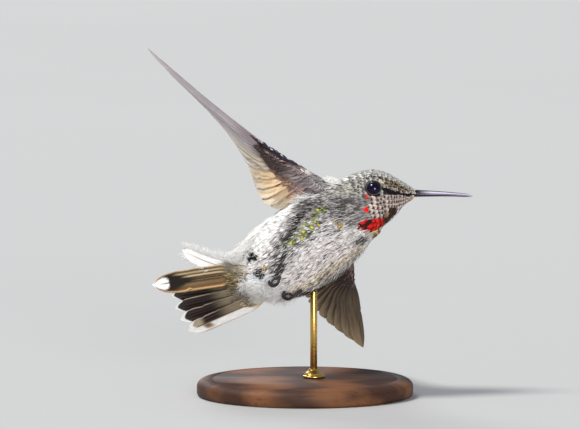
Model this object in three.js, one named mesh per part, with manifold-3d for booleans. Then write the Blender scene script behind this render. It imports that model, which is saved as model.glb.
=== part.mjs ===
// A young male Anna's hummingbird, life size, on a display stand, hovering in a bank to its left.
// Millimetres, +Z up, +X the way the bill points. The origin is the centre of the stand's underside.
// Head, neck and torso are stretches of one lofted body. Each wing and the tail are one solid of many vanes.
import * as THREE from "three";
import { mergeVertices } from "three/addons/utils/BufferGeometryUtils.js";
import Module from "manifold-3d";

const wasm = await Module();
wasm.setup();

// ---------------------------------------------------------------- driving dimensions

const GAP = 0.3; // clear space kept between two nodes that touch
const WORLD_Y = new THREE.Vector3(0, 1, 0);

// The body's stations from the tail root to the bill. x and z place the centre, in the plane y = 0.
// roll turns the section about the spine, so that the belly faces -y. wide, back and belly are its radii.
const STATIONS = [
  { x: -17.7, z: 34.1, roll: 52, wide: 3.9, back: 2.9, belly: 3.1 },
  { x: -14.5, z: 34.8, roll: 54, wide: 7.0, back: 6.4, belly: 6.4 },
  { x: -10.2, z: 36.5, roll: 57, wide: 10.1, back: 9.6, belly: 9.9 },
  { x: -5.1, z: 39.5, roll: 59, wide: 12.0, back: 10.9, belly: 11.8 },
  { x: 0.0, z: 43.2, roll: 60, wide: 12.6, back: 11.3, belly: 12.5 },
  { x: 4.9, z: 46.8, roll: 57, wide: 12.1, back: 11.1, belly: 12.5 },
  { x: 9.1, z: 50.2, roll: 48, wide: 10.7, back: 11.0, belly: 11.8 },
  { x: 12.8, z: 53.5, roll: 36, wide: 8.8, back: 9.9, belly: 11.4 },
  { x: 16.0, z: 55.9, roll: 26, wide: 7.5, back: 8.3, belly: 11.0 },
  { x: 19.4, z: 57.3, roll: 19, wide: 6.9, back: 7.7, belly: 9.7 },
  { x: 22.9, z: 57.9, roll: 15, wide: 5.9, back: 6.5, belly: 8.3 },
  { x: 25.7, z: 58.1, roll: 13, wide: 4.3, back: 4.7, belly: 6.4 },
  { x: 28.3, z: 58.1, roll: 12, wide: 2.7, back: 2.9, belly: 3.6 },
  { x: 30.9, z: 57.9, roll: 12, wide: 1.55, back: 1.4, belly: 1.5 },
];
const TORSO_END = 6.2; // in stations
const NECK_END = 8.05;
const JOINT_GAP = 0.05; // half the gap at a neck joint, in stations
const BODY_SIDES = 24;

const EYE = { station: 9.2, angle: 84, radius: 2.3, sunk: 1.35 };
const LID = { radius: 2.25, thick: 0.6, out: 0.95 }; // out is its height over the middle of the ball
const GAPE = { radius: 0.27, from: 13, to: 9.75, angle: [92, 103] }; // stations, and degrees from the back

const BILL = {
  rootX: 30.4,
  length: 17.6,
  mouthZ: 57.75, // the line where the halves meet, at the root
  tipDrop: 0.55,
  wide: 1.2,
  taper: 0.68, // how much of its width the bill has lost where the point begins
  point: 0.1, // what is left of it at the very tip
  upper: { deep: 1.3, length: 1 },
  lower: { deep: 0.74, length: 0.985 },
};
const NOSTRIL = { ahead: [1.9, 3.8], side: 1.08, rise: 0.72, radius: [0.2, 0.14] }; // from the bill's root

// A wing's frame: span runs out along the leading edge, chord back to the trailing edge, and up is dorsal.
const WING = {
  span: 64, // shoulder to tip
  shoulder: [4.9, -2.2, 59.3],
  out: [-0.787, 0, 0.617], // from the right shoulder to the right wing's tip
  setBack: 4.2, // the left shoulder is this far back along the spine, because the bird is turning
  swing: -1.5, // and the left wing is turned about the back's axis, in degrees; less than 0 is forward
  dip: 3, // and lowered about the spine
  twist: { right: 84, left: 42 }, // how far the hand turns about the leading edge, in degrees
  twistFrom: 10, // where the turn begins along the span
  twistOver: 9.5, // the distance in which most of it is done
  hollow: 0.9, // how far the leading edge bows back in its middle
  forward: 1.3, // and its tip sweeps forward
  edge: 0.5, // and all of it stands ahead of the quills
};
const ARM = { from: -7, to: 25, deep: [5.0, 0.9], wide: [7.6, 1.4], ahead: 2.2 }; // it starts inside the body
const PRIMARIES = { count: 10, shortest: 17.5, longest: 43, near: 49, far: 1, wide: 5.0 };
const SECONDARIES = { count: 6, longest: 15, shortest: 10.2, near: 81, far: 55, wide: 5.2 };
const VANE = { thick: 0.5, ridge: 0.12, shingle: 0.26, tip: 0.28 }; // tip is the round end's share

// Rows of coverts on the upper side (face 1) and the under side (face -1) of a wing, greater coverts first.
// s, angle and length run from the feather beside the body to the one on the hand.
const WING_COVERTS = [
  { face: 1, count: 8, s: [4, 19], angle: [80, 16], length: [7.6, 10], wide: 4.0, c: 1.4, lift: 0.75 },
  { face: 1, count: 6, s: [3, 16], angle: [80, 26], length: [4.8, 5.6], wide: 3.9, c: 1.0, lift: 1.25 },
  { face: -1, count: 7, s: [4, 18], angle: [80, 20], length: [6, 7.6], wide: 4.2, c: 1.2, lift: 1.0 },
];

// The tail's right half is shut and its left half is fanned, each counted from the middle pair outwards.
// Every pair of numbers is the middle feather's value and the step to the next.
const TAIL = {
  root: [-14.9, 0.6, 33.0],
  back: [-0.966, 0.17, -0.175],
  belly: [0.1, -0.87, -0.48],
  wide: 6.2,
  length: [26, 26.7, 27.2, 27.3, 27],
  right: { sideways: [3.5, 0.25], angle: [0.5, 0.12], start: [0.6, 0.2], lift: -0.33, tilt: 0.34, tip: 0.26 },
  left: { sideways: [0.6, 1.15], angle: [-9, 6.5], start: [-2.2, -0.3], lift: -0.3, tilt: 0.26, tip: 0.15 },
};
const TAIL_COVERTS = [
  { face: -1, count: 6, length: 7, wide: 4.8, lift: 2.9, spread: 5, pitch: 2.0 },
  { face: 1, count: 5, length: 8, wide: 5, lift: 2.2, spread: 5, pitch: 2.2 },
];
const STUMP = { from: -2, to: 5.5, wide: [1.6, 5.4], deep: [0.5, 3.0], lower: 0.6 };
const PLUME = { from: [-15.6, -1.6, 36.2], to: [-35.1, -1.6, 41.9], bow: 1.3, wide: 4.6, thick: 0.6 };

// Each leg comes out of the belly's feathers and ends in four toes curled shut, as in flight.
// hip is a station and an angle round the body, curl the way the front toes point.
const LEGS = [
  {
    name: "leg_right",
    hip: [2.3, 170],
    knee: [-6.0, -9.4, 37.6],
    ankle: [-7.4, -10.6, 34.6],
    curl: [-0.3, -0.35, -0.9],
  },
  {
    name: "leg_left",
    hip: [2.9, 212],
    knee: [-1.4, -7.0, 30.8],
    ankle: [-3.4, -8.0, 29.2],
    curl: [-0.85, -0.3, -0.4],
  },
];
const SHIN = { radius: [0.62, 0.48], ankle: 0.6 };
const TOE = { front: 3.2, hind: 2.2, radius: 0.36, claw: 1.3, spread: 0.42 };

const STAND = {
  radius: 31,
  height: 5,
  shoulder: 3.2, // the width of the base's rounded edge
  rod: 1.0,
  rodX: 2.5,
  rodY: 0.6,
  bellyZ: 31.2, // where the belly's surface stands over the rod
  sunk: 3, // how deep the rod sits in the base, and in the belly
  collar: 3.2,
  collarHeight: 2.6,
};

// ---------------------------------------------------------------- solids and meshes

const vec = (x, y, z) => new THREE.Vector3(x, y, z);
const radians = THREE.MathUtils.degToRad;
const mix = THREE.MathUtils.lerp;

// A manifold-3d solid of a closed three.js geometry, with its faces turned out.
function toSolid(geometry) {
  const bare = new THREE.BufferGeometry().setAttribute("position", geometry.getAttribute("position"));
  if (geometry.index) bare.setIndex(geometry.index);
  const merged = mergeVertices(bare, 1e-4);
  const vertProperties = merged.attributes.position.array;
  const make = (triVerts) => new wasm.Manifold(new wasm.Mesh({ numProp: 3, vertProperties, triVerts }));
  const triVerts = new Uint32Array(merged.index.array);
  const solid = make(triVerts);
  if (solid.volume() > 0) return solid;
  return make(triVerts.map((v, i) => merged.index.array[i - (i % 3) + [0, 2, 1][i % 3]]));
}

function toGeometry(points, faces) {
  return new THREE.BufferGeometry().setFromPoints(points).setIndex(faces);
}

function join(solids) {
  return wasm.Manifold.union(solids);
}

// The largest closed piece of a solid: loose scraps and sealed hollows go.
function largest(solid) {
  const pieces = solid.decompose();
  return pieces.reduce((a, b) => (b.volume() > a.volume() ? b : a));
}

function toMesh(name, solid, look) {
  const made = largest(solid).getMesh();
  const position = new Float32Array(made.numVert * 3);
  for (let i = 0; i < made.numVert; i++)
    position.set(made.vertProperties.subarray(i * made.numProp, i * made.numProp + 3), i * 3);
  const geometry = new THREE.BufferGeometry()
    .setAttribute("position", new THREE.BufferAttribute(position, 3))
    .setIndex(new THREE.BufferAttribute(made.triVerts, 1));
  geometry.computeVertexNormals();
  const mesh = new THREE.Mesh(geometry, look);
  mesh.name = name;
  return mesh;
}

// A closed tube through rings of equal length, with a fan over each end.
function loft(rings) {
  const sides = rings[0].length;
  const points = rings.flat();
  const centre = (ring) => ring.reduce((sum, p) => sum.add(p), vec(0, 0, 0)).divideScalar(sides);
  const first = points.push(centre(rings[0])) - 1;
  const last = points.push(centre(rings.at(-1))) - 1;
  const faces = [];
  for (let i = 0; i < sides; i++) {
    const next = (i + 1) % sides;
    for (let j = 0; j + 1 < rings.length; j++) {
      const [a, b, c, d] = [j * sides + i, j * sides + next, (j + 1) * sides + i, (j + 1) * sides + next];
      faces.push(a, b, d, a, d, c);
    }
    const end = (rings.length - 1) * sides;
    faces.push(first, next, i, last, end + i, end + next);
  }
  return toSolid(toGeometry(points, faces));
}

// A closed sheet between two grids of points, split into triangles alike on both faces.
function slab(above, below) {
  const [rows, columns] = [above.length, above[0].length];
  const points = [...above.flat(), ...below.flat()];
  const top = (r, c) => r * columns + c;
  const bottom = (r, c) => rows * columns + top(r, c);
  const faces = [];
  const quad = (a, b, c, d) => faces.push(a, b, c, a, c, d);
  for (let r = 0; r + 1 < rows; r++) {
    for (let c = 0; c + 1 < columns; c++) {
      quad(top(r, c), top(r + 1, c), top(r + 1, c + 1), top(r, c + 1));
      faces.push(bottom(r, c), bottom(r + 1, c + 1), bottom(r + 1, c));
      faces.push(bottom(r, c), bottom(r, c + 1), bottom(r + 1, c + 1));
    }
    quad(top(r, 0), bottom(r, 0), bottom(r + 1, 0), top(r + 1, 0));
    const c = columns - 1;
    quad(top(r + 1, c), bottom(r + 1, c), bottom(r, c), top(r, c));
  }
  for (let c = 0; c + 1 < columns; c++) {
    quad(top(0, c + 1), bottom(0, c + 1), bottom(0, c), top(0, c));
    const r = rows - 1;
    quad(top(r, c), bottom(r, c), bottom(r, c + 1), top(r, c + 1));
  }
  return toSolid(toGeometry(points, faces));
}

// ---------------------------------------------------------------- the lofted body

const through = (values) => new THREE.CatmullRomCurve3(values, false, "catmullrom", 0.5);
const spine = through(STATIONS.map((s) => vec(s.x, 0, s.z)));
const rollAndWide = through(STATIONS.map((s) => vec(s.roll, s.wide, 0)));
const depths = through(STATIONS.map((s) => vec(s.back, s.belly, 0)));

// The spine's centre and axes at a station: forward to the bill, dorsal to the back, right to its right.
function bodyFrame(station) {
  const t = THREE.MathUtils.clamp(station / (STATIONS.length - 1), 0, 1);
  const { x: roll, y: wide } = rollAndWide.getPoint(t);
  const { x: back, y: belly } = depths.getPoint(t);
  const step = 0.01;
  const ahead = spine.getPoint(Math.min(t + step, 1));
  const forward = ahead.sub(spine.getPoint(Math.max(t - step, 0))).normalize();
  const up = vec(-forward.z, 0, forward.x);
  const dorsal = up.multiplyScalar(Math.cos(radians(roll))).addScaledVector(WORLD_Y, Math.sin(radians(roll)));
  const right = forward.clone().cross(dorsal);
  return { centre: spine.getPoint(t), forward, dorsal, right, wide, back, belly };
}

// The coat's surface. angle is 0 on the back, 90 on the right side and 180 on the belly, in degrees.
function bodyPoint(station, angle, out = 0) {
  const f = bodyFrame(station);
  const a = radians(angle);
  const deep = Math.cos(a) > 0 ? f.back : f.belly;
  return f.centre
    .addScaledVector(f.right, (f.wide + out) * Math.sin(a))
    .addScaledVector(f.dorsal, (deep + out) * Math.cos(a));
}

function bodyRing(station, out, shift = 0) {
  const { forward } = bodyFrame(station);
  return Array.from({ length: BODY_SIDES }, (_, i) =>
    bodyPoint(station, (360 * i) / BODY_SIDES, out).addScaledVector(forward, shift),
  );
}

// A stretch of the body, grown by `out` on every side.
function bodyStretch(from, to, rows, out = 0) {
  const rings = Array.from({ length: rows + 1 }, (_, j) => bodyRing(mix(from, to, j / rows), out));
  if (out > 0) {
    rings.unshift(bodyRing(from, out - 0.3, -out));
    rings.push(bodyRing(to, out - 0.3, out));
  }
  return loft(rings);
}

function sphere(centre, radius, sides = 20) {
  const ball = new THREE.SphereGeometry(radius, sides, Math.round(sides * 0.6));
  return toSolid(ball.translate(centre.x, centre.y, centre.z));
}

// A round bar through points, of one radius or a radius at each end.
function bar(points, radiusFrom, radiusTo = radiusFrom, sides = 8, steps = 8) {
  const curve = new THREE.CatmullRomCurve3(points);
  const frames = curve.computeFrenetFrames(steps, false);
  const rings = Array.from({ length: steps + 1 }, (_, j) => {
    const radius = mix(radiusFrom, radiusTo, j / steps);
    return Array.from({ length: sides }, (_, i) => {
      const a = (2 * Math.PI * i) / sides;
      return curve
        .getPointAt(j / steps)
        .addScaledVector(frames.normals[j], radius * Math.cos(a))
        .addScaledVector(frames.binormals[j], radius * Math.sin(a));
    });
  });
  return loft(rings);
}

// ---------------------------------------------------------------- head, eyes and bill

function eyePlace(side) {
  const rim = bodyPoint(EYE.station, side * EYE.angle);
  const inside = bodyPoint(EYE.station, side * EYE.angle, -2);
  const outward = rim.clone().sub(inside).normalize();
  return { centre: rim.clone().addScaledVector(outward, -EYE.sunk), outward };
}

// A ring of skin round the eye. The socket is cut through it, so that it closes on the ball.
function lid(side) {
  const { centre, outward } = eyePlace(side);
  const turn = new THREE.Quaternion().setFromUnitVectors(vec(0, 0, 1), outward);
  const seat = centre.clone().addScaledVector(outward, LID.out);
  const ring = new THREE.TorusGeometry(LID.radius, LID.thick, 6, 18).applyQuaternion(turn);
  return toSolid(ring.translate(seat.x, seat.y, seat.z));
}

// The mouth's line runs back from the bill and ends below the front of the eye.
function gape(side) {
  const count = 7;
  const line = Array.from({ length: count }, (_, i) => {
    const along = i / (count - 1);
    return bodyPoint(mix(GAPE.from, GAPE.to, along), side * mix(...GAPE.angle, along ** 1.5));
  });
  return bar(line, GAPE.radius, GAPE.radius, 4, 8);
}

function headSolid() {
  const skull = bodyStretch(NECK_END + JOINT_GAP, STATIONS.length - 1, 15);
  let head = join([skull, lid(1), lid(-1)]);
  for (const side of [1, -1]) {
    head = head.subtract(sphere(eyePlace(side).centre, EYE.radius + GAP * 0.8, 16)).subtract(gape(side));
  }
  return head;
}

// Half of the bill, upper (half = 1) or lower (half = -1), from its root inside the face to its tip.
function mandible(half, { deep, length }) {
  const rows = 8;
  const ring = 7;
  const { dorsal, right } = bodyFrame(STATIONS.length - 1);
  const rings = Array.from({ length: rows + 1 }, (_, j) => {
    const along = j / rows;
    const taper = Math.min(1 - BILL.taper * along ** 0.9, (1 - along) * 3 + BILL.point);
    const middle = vec(BILL.rootX + BILL.length * length * along, 0, BILL.mouthZ - BILL.tipDrop * along ** 3);
    return Array.from({ length: ring }, (_, i) => {
      const a = (Math.PI * i) / (ring - 1);
      const rise = Math.max(Math.sin(a) * deep * taper, 0.02) + GAP / 2;
      const side = Math.cos(a) * BILL.wide * taper;
      return middle.clone().addScaledVector(right, side).addScaledVector(dorsal, half * rise);
    });
  });
  return loft(rings);
}

function nostril(side) {
  const { dorsal, right } = bodyFrame(STATIONS.length - 1);
  const line = NOSTRIL.ahead.map((ahead) =>
    vec(BILL.rootX + ahead, 0, BILL.mouthZ)
      .addScaledVector(right, side * NOSTRIL.side)
      .addScaledVector(dorsal, NOSTRIL.rise),
  );
  return bar(line, ...NOSTRIL.radius, 6, 2);
}

// ---------------------------------------------------------------- vanes

// How wide a feather is at u along it: narrow at the quill, full at a third, and round over its last tip.
function outline(u, tip) {
  const quill = THREE.MathUtils.smoothstep(u, -0.12, 0.3);
  const round = Math.sqrt(Math.max(1 - (Math.max(u - 1 + tip, 0) / (tip + 0.005)) ** 2, 0));
  return quill * round;
}

const VANE_ROWS = [0, 0.2, 0.5, 0.76, 0.92, 1];
const COVERT_ROWS = [0, 0.4, 0.8, 1];

// A feather as a slab. place(x, y, h) turns its own millimetres into the part's frame: x runs along the
// rachis, y across to the inner vane and h through it. outer and inner are the widths of its two vanes.
function vane({ length, outer, inner, place, curve = 0, ...shape }) {
  const { rows, thick, ridge, tip } = { rows: VANE_ROWS, ...VANE, ...shape };
  const face = (side) =>
    rows.map((u) => {
      const bend = curve * u * u;
      const half = (side * thick * (u > 0.95 ? 0.7 : 1)) / 2;
      return [-outer, 0, inner].map((wide, i) => {
        const y = wide * outline(u, tip) + bend;
        return place(length * u, y, half + (i === 1 ? side * ridge : 0));
      });
    });
  return slab(face(1), face(-1));
}

// ---------------------------------------------------------------- wings

// The right wing's frame, or the left one's: mirrored in the torso's middle plane, then set back and swung.
function wingFrame(side) {
  const span = vec(...WING.out).normalize();
  const up = WORLD_Y.clone();
  const chord = span.clone().cross(up);
  const shoulder = vec(...WING.shoulder);
  if (side > 0) return { span, chord, up, shoulder, twist: WING.twist.right };
  const { centre, forward } = bodyFrame(5);
  const { right, dorsal } = bodyFrame(4);
  for (const v of [span, chord, up, shoulder.sub(centre)]) v.addScaledVector(right, -2 * v.dot(right));
  shoulder.add(centre).addScaledVector(forward, -WING.setBack);
  for (const v of [span, chord, up])
    v.applyAxisAngle(dorsal, radians(WING.swing)).applyAxisAngle(forward, radians(-WING.dip));
  return { span, chord, up, shoulder, twist: WING.twist.left };
}

// A point of the wing, after the turn of the hand.
function wingPoint(frame, s, c, h) {
  const turned = s > WING.twistFrom ? 1 - Math.exp(-(s - WING.twistFrom) / WING.twistOver) : 0;
  const angle = radians(frame.twist) * turned;
  const along = s / WING.span;
  const bow = WING.hollow * Math.sin(Math.PI * along) - WING.forward * along ** 2 - WING.edge;
  return frame.shoulder
    .clone()
    .addScaledVector(frame.span, s)
    .addScaledVector(frame.chord, c * Math.cos(angle) - h * Math.sin(angle) + bow)
    .addScaledVector(frame.up, c * Math.sin(angle) + h * Math.cos(angle));
}

// A feather of the wing: root (s, c), angle from the span, and height above the wing's middle surface.
function wingFeather(frame, { s, c, angle, lift = 0, drop = 0, ...shape }) {
  const a = radians(angle);
  const place = (x, y, h) => {
    const out = s + x * Math.cos(a) - y * Math.sin(a);
    const back = c + x * Math.sin(a) + y * Math.cos(a);
    return wingPoint(frame, out, back, h + lift - VANE.shingle * y - drop * x);
  };
  return vane({ ...shape, place });
}

function primaries(frame) {
  const { count, shortest, longest, near, far, wide } = PRIMARIES;
  return Array.from({ length: count }, (_, i) => {
    const out = i / (count - 1); // 0 is the innermost, 1 the outermost
    const width = wide * (i === count - 1 ? 0.8 : 1);
    return wingFeather(frame, {
      s: mix(14.6, 21, out),
      c: mix(1.2, -0.2, out),
      angle: far + (near - far) * (1 - out) ** 1.25,
      length: mix(shortest, longest, out ** 1.1),
      outer: width * mix(0.42, 0.24, out),
      inner: width * mix(0.58, 0.76, out),
      curve: mix(0.4, 2.2, out),
    });
  });
}

function secondaries(frame) {
  const { count, longest, shortest, near, far, wide } = SECONDARIES;
  return Array.from({ length: count }, (_, i) => {
    const inward = i / (count - 1); // 0 is beside the primaries, 1 beside the body
    return wingFeather(frame, {
      s: mix(13, 4.6, inward),
      c: mix(1.4, 2.2, inward),
      angle: mix(far, near, inward),
      length: mix(longest, shortest, inward),
      outer: wide * 0.45,
      inner: wide * 0.55,
      curve: 0.5,
    });
  });
}

// A row of coverts that fans over the quills.
function coverts(frame, { face, count, s, angle, length, wide, c, lift }) {
  return Array.from({ length: count }, (_, i) => {
    const out = i / (count - 1);
    return wingFeather(frame, {
      s: mix(...s, out),
      c,
      angle: mix(...angle, out),
      length: mix(...length, out),
      outer: wide / 2,
      inner: wide / 2,
      lift: face * lift,
      drop: face * 0.05,
      rows: COVERT_ROWS,
      ridge: 0.05,
    });
  });
}

// The arm and hand, as one tapering form along the leading edge.
function arm(frame) {
  const rows = 9;
  const sides = 8;
  const rings = Array.from({ length: rows + 1 }, (_, j) => {
    const along = j / rows;
    const s = mix(ARM.from, ARM.to, along);
    const deep = mix(...ARM.deep, along ** 0.6) / 2;
    const wide = mix(...ARM.wide, along ** 0.9) / 2;
    const middle = wide * 0.8 - ARM.ahead * (1 - along);
    return Array.from({ length: sides }, (_, i) => {
      const a = (2 * Math.PI * i) / sides;
      return wingPoint(frame, s, middle + wide * Math.cos(a), deep * Math.sin(a));
    });
  });
  return loft(rings);
}

function wingSolid(side, bodyRoom) {
  const frame = wingFrame(side);
  const rows = WING_COVERTS.flatMap((row) => coverts(frame, row));
  return join([arm(frame), ...primaries(frame), ...secondaries(frame), ...rows]).subtract(bodyRoom);
}

// ---------------------------------------------------------------- tail

function tailFrame() {
  const back = vec(...TAIL.back).normalize();
  const belly = vec(...TAIL.belly);
  belly.addScaledVector(back, -belly.dot(back)).normalize();
  const up = belly.clone().negate();
  const right = up.clone().cross(back);
  return { root: vec(...TAIL.root), back, up, right };
}

// A feather of the tail: x back from the root, sideways to the bird's right, lifted to the back.
function tailFeather(frame, { sideways, angle, lift = 0, drop = 0, tilt = 0, start = 0, ...shape }) {
  const a = radians(angle);
  const place = (x, y, h) =>
    frame.root
      .clone()
      .addScaledVector(frame.back, start + x * Math.cos(a) - y * Math.sin(a))
      .addScaledVector(frame.right, sideways + x * Math.sin(a) + y * Math.cos(a))
      .addScaledVector(frame.up, lift + h + tilt * y - drop * x);
  return vane({ ...shape, place });
}

function rectrices(frame) {
  const half = (side, { sideways, angle, start, lift, tilt, tip }) =>
    TAIL.length.map((length, k) =>
      tailFeather(frame, {
        sideways: side * (sideways[0] + sideways[1] * k),
        angle: side * (angle[0] + angle[1] * k),
        start: start[0] + start[1] * k,
        length,
        outer: TAIL.wide / 2,
        inner: TAIL.wide / 2,
        tilt: side * tilt,
        lift: lift * k,
        tip,
        rows: [0, 0.2, 0.5, 1 - tip, 1 - 0.36 * tip, 1],
      }),
    );
  return [...half(1, TAIL.right), ...half(-1, TAIL.left)];
}

function tailCoverts(frame, { count, length, wide, face, lift, spread, pitch }) {
  return Array.from({ length: count }, (_, i) => {
    const across = i - (count - 1) / 2;
    return tailFeather(frame, {
      sideways: across * pitch,
      angle: across * spread,
      length: length * (1 - 0.035 * across * across),
      outer: wide / 2,
      inner: wide / 2,
      lift: face * (lift + 0.25 * (i % 2)),
      drop: face * 0.1,
      rows: COVERT_ROWS,
      ridge: 0.05,
    });
  });
}

// The stump under the coverts that carries the quills.
function tailStump(frame) {
  const rows = 7;
  const sides = 14;
  const rings = Array.from({ length: rows + 1 }, (_, j) => {
    const along = j / rows;
    const fade = Math.cos((along * Math.PI) / 2) ** 0.6;
    const wide = mix(...STUMP.wide, fade);
    const deep = mix(...STUMP.deep, fade);
    return Array.from({ length: sides }, (_, i) => {
      const a = (2 * Math.PI * i) / sides;
      return frame.root
        .clone()
        .addScaledVector(frame.back, mix(STUMP.from, STUMP.to, along))
        .addScaledVector(frame.right, wide * Math.cos(a))
        .addScaledVector(frame.up, deep * Math.sin(a) - STUMP.lower);
    });
  });
  return loft(rings);
}

// The loose white plume that stands off the tail's right edge.
function plume(frame) {
  const from = vec(...PLUME.from);
  const along = vec(...PLUME.to).sub(from);
  const length = along.length();
  along.normalize();
  const across = along.clone().cross(frame.up).normalize();
  const out = across.clone().cross(along);
  const place = (x, y, h) =>
    from
      .clone()
      .addScaledVector(along, x)
      .addScaledVector(across, y + PLUME.bow * Math.sin((Math.PI * x) / length))
      .addScaledVector(out, h);
  return vane({ length, outer: PLUME.wide / 2, inner: PLUME.wide / 2, place, thick: PLUME.thick });
}

function tailSolid(bodyRoom) {
  const frame = tailFrame();
  const rows = TAIL_COVERTS.flatMap((row) => tailCoverts(frame, row));
  return join([tailStump(frame), ...rectrices(frame), ...rows, plume(frame)]).subtract(bodyRoom);
}

// ---------------------------------------------------------------- legs

// A toe leaves the ankle along its heading, curls over towards bendTo and ends in a claw that turns back.
function toe(ankle, heading, bendTo, length) {
  const first = ankle.clone().addScaledVector(heading, length * 0.55);
  const middle = first.clone().addScaledVector(heading, length * 0.3).addScaledVector(bendTo, length * 0.4);
  const last = middle.clone().addScaledVector(bendTo, length * 0.35).addScaledVector(heading, -length * 0.15);
  const tip = last.clone().addScaledVector(bendTo, TOE.claw * 0.5).addScaledVector(heading, -TOE.claw * 0.7);
  return [
    bar([ankle, first, middle, last], TOE.radius, TOE.radius * 0.85, 5, 4),
    bar([middle, last, tip], TOE.radius * 0.75, TOE.radius * 0.33, 5, 3),
  ];
}

function legSolid({ hip, knee, ankle, curl }, bodyRoom) {
  const [root, bend, foot] = [bodyPoint(...hip, -2), vec(...knee), vec(...ankle)];
  const heading = vec(...curl).normalize();
  const outward = vec(0, -1, 0);
  const bendTo = heading.clone().cross(outward).normalize().addScaledVector(outward, 0.25).normalize();
  const toes = [-1, 0, 1].flatMap((k) => {
    const spread = heading.clone().addScaledVector(outward, TOE.spread * k).normalize();
    return toe(foot, spread, bendTo, TOE.front * (1 - 0.08 * Math.abs(k)));
  });
  const hind = toe(foot, bendTo.clone().addScaledVector(heading, 0.3).normalize(), heading, TOE.hind);
  const shin = bar([root, bend, foot], ...SHIN.radius, 7, 5);
  return join([shin, sphere(foot, SHIN.ankle, 7), ...toes, ...hind]).subtract(bodyRoom);
}

// ---------------------------------------------------------------- stand

function turned(profile, sides) {
  const points = profile.map(([r, z]) => new THREE.Vector2(r, z));
  return toSolid(new THREE.LatheGeometry(points, sides).rotateX(Math.PI / 2));
}

function rodSolid(radius, from, to) {
  const rod = new THREE.CylinderGeometry(radius, radius, to - from, 14).rotateX(Math.PI / 2);
  return toSolid(rod.translate(STAND.rodX, STAND.rodY, (from + to) / 2));
}

const rodFoot = STAND.height - STAND.sunk;
const rodTop = STAND.bellyZ + STAND.sunk;

// A disc with a rounded top edge, bored for the rod.
function baseSolid() {
  const { radius, height, shoulder } = STAND;
  const edge = [0, 0.3, 0.6, 1].map((turn) => {
    const a = (turn * Math.PI) / 2;
    return [radius - shoulder * (1 - Math.cos(a)), height - shoulder * 0.7 * (1 - Math.sin(a))];
  });
  const disc = turned([[0, 0], [radius, 0], ...edge, [0, height]], 40);
  return disc.subtract(rodSolid(STAND.rod + GAP, rodFoot - GAP, height + 1));
}

function collarSolid() {
  const { rod, height, collar, collarHeight } = STAND;
  const bore = rod + GAP;
  const ring = new THREE.LatheGeometry(
    [
      [bore, GAP],
      [collar, GAP],
      [collar, collarHeight * 0.45],
      [collar * 0.62, collarHeight * 0.7],
      [bore + 0.4, collarHeight],
      [bore, collarHeight],
      [bore, GAP],
    ].map(([r, z]) => new THREE.Vector2(r, z)),
    20,
  ).rotateX(Math.PI / 2);
  return toSolid(ring.translate(STAND.rodX, STAND.rodY, height));
}

// ---------------------------------------------------------------- the assembly

const look = (color, roughness, metalness = 0) =>
  new THREE.MeshStandardMaterial({ color, roughness, metalness });
const LOOKS = {
  plumage: look(0xb9b4a8, 0.85),
  crown: look(0xa8a294, 0.8),
  wing: look(0x5c524c, 0.6),
  tail: look(0x4a443f, 0.6),
  horn: look(0x17151a, 0.3),
  eye: look(0x060608, 0.05),
  wood: look(0x3a2419, 0.45),
  brass: look(0xb08d4a, 0.3, 1),
};

const bird = new THREE.Group();
const add = (name, solid, material) => bird.add(toMesh(name, solid, material));

const bodyRoom = bodyStretch(0, STATIONS.length - 1, 44, GAP);
const torso = bodyStretch(0, TORSO_END - JOINT_GAP, 16);
const rodRoom = rodSolid(STAND.rod + GAP, 0, rodTop + GAP);

add("torso", torso.subtract(rodRoom), LOOKS.plumage);
add("neck", bodyStretch(TORSO_END + JOINT_GAP, NECK_END - JOINT_GAP, 5), LOOKS.plumage);
add("head", headSolid(), LOOKS.crown);
for (const side of [1, -1]) {
  const sideName = side > 0 ? "right" : "left";
  add(`eye_${sideName}`, sphere(eyePlace(side).centre, EYE.radius, 16), LOOKS.eye);
}
const upperBill = mandible(1, BILL.upper).subtract(nostril(1)).subtract(nostril(-1));
add("bill_upper", upperBill.subtract(bodyRoom), LOOKS.horn);
add("bill_lower", mandible(-1, BILL.lower).subtract(bodyRoom), LOOKS.horn);
add("wing_right", wingSolid(1, bodyRoom), LOOKS.wing);
add("wing_left", wingSolid(-1, bodyRoom), LOOKS.wing);
add("tail", tailSolid(bodyRoom), LOOKS.tail);
for (const leg of LEGS) add(leg.name, legSolid(leg, bodyRoom), LOOKS.horn);
add("stand_base", baseSolid(), LOOKS.wood);
add("stand_collar", collarSolid(), LOOKS.brass);
add("stand_rod", rodSolid(STAND.rod, rodFoot, rodTop), LOOKS.brass);

export default bird;
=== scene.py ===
"""A young male Anna's hummingbird on a display stand: plumage, wings, tail, eyes, bill, feet and stand.

Lengths are millimetres until a mesh is written in metres. A place on the body is a station along the spine,
0 at the tail's root and 13 at the bill, and an angle round it: 0 on the back, 90 on the bird's right and 180
on the belly. Every feather is a closed sheet, and every loose barb a thin tapering tube. Colours are codes as
on a web page. Letters: t is a station, a an angle in radians, and u and v run along and across a feather,
from its root to its tip and from edge to edge.
"""
import math

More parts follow.
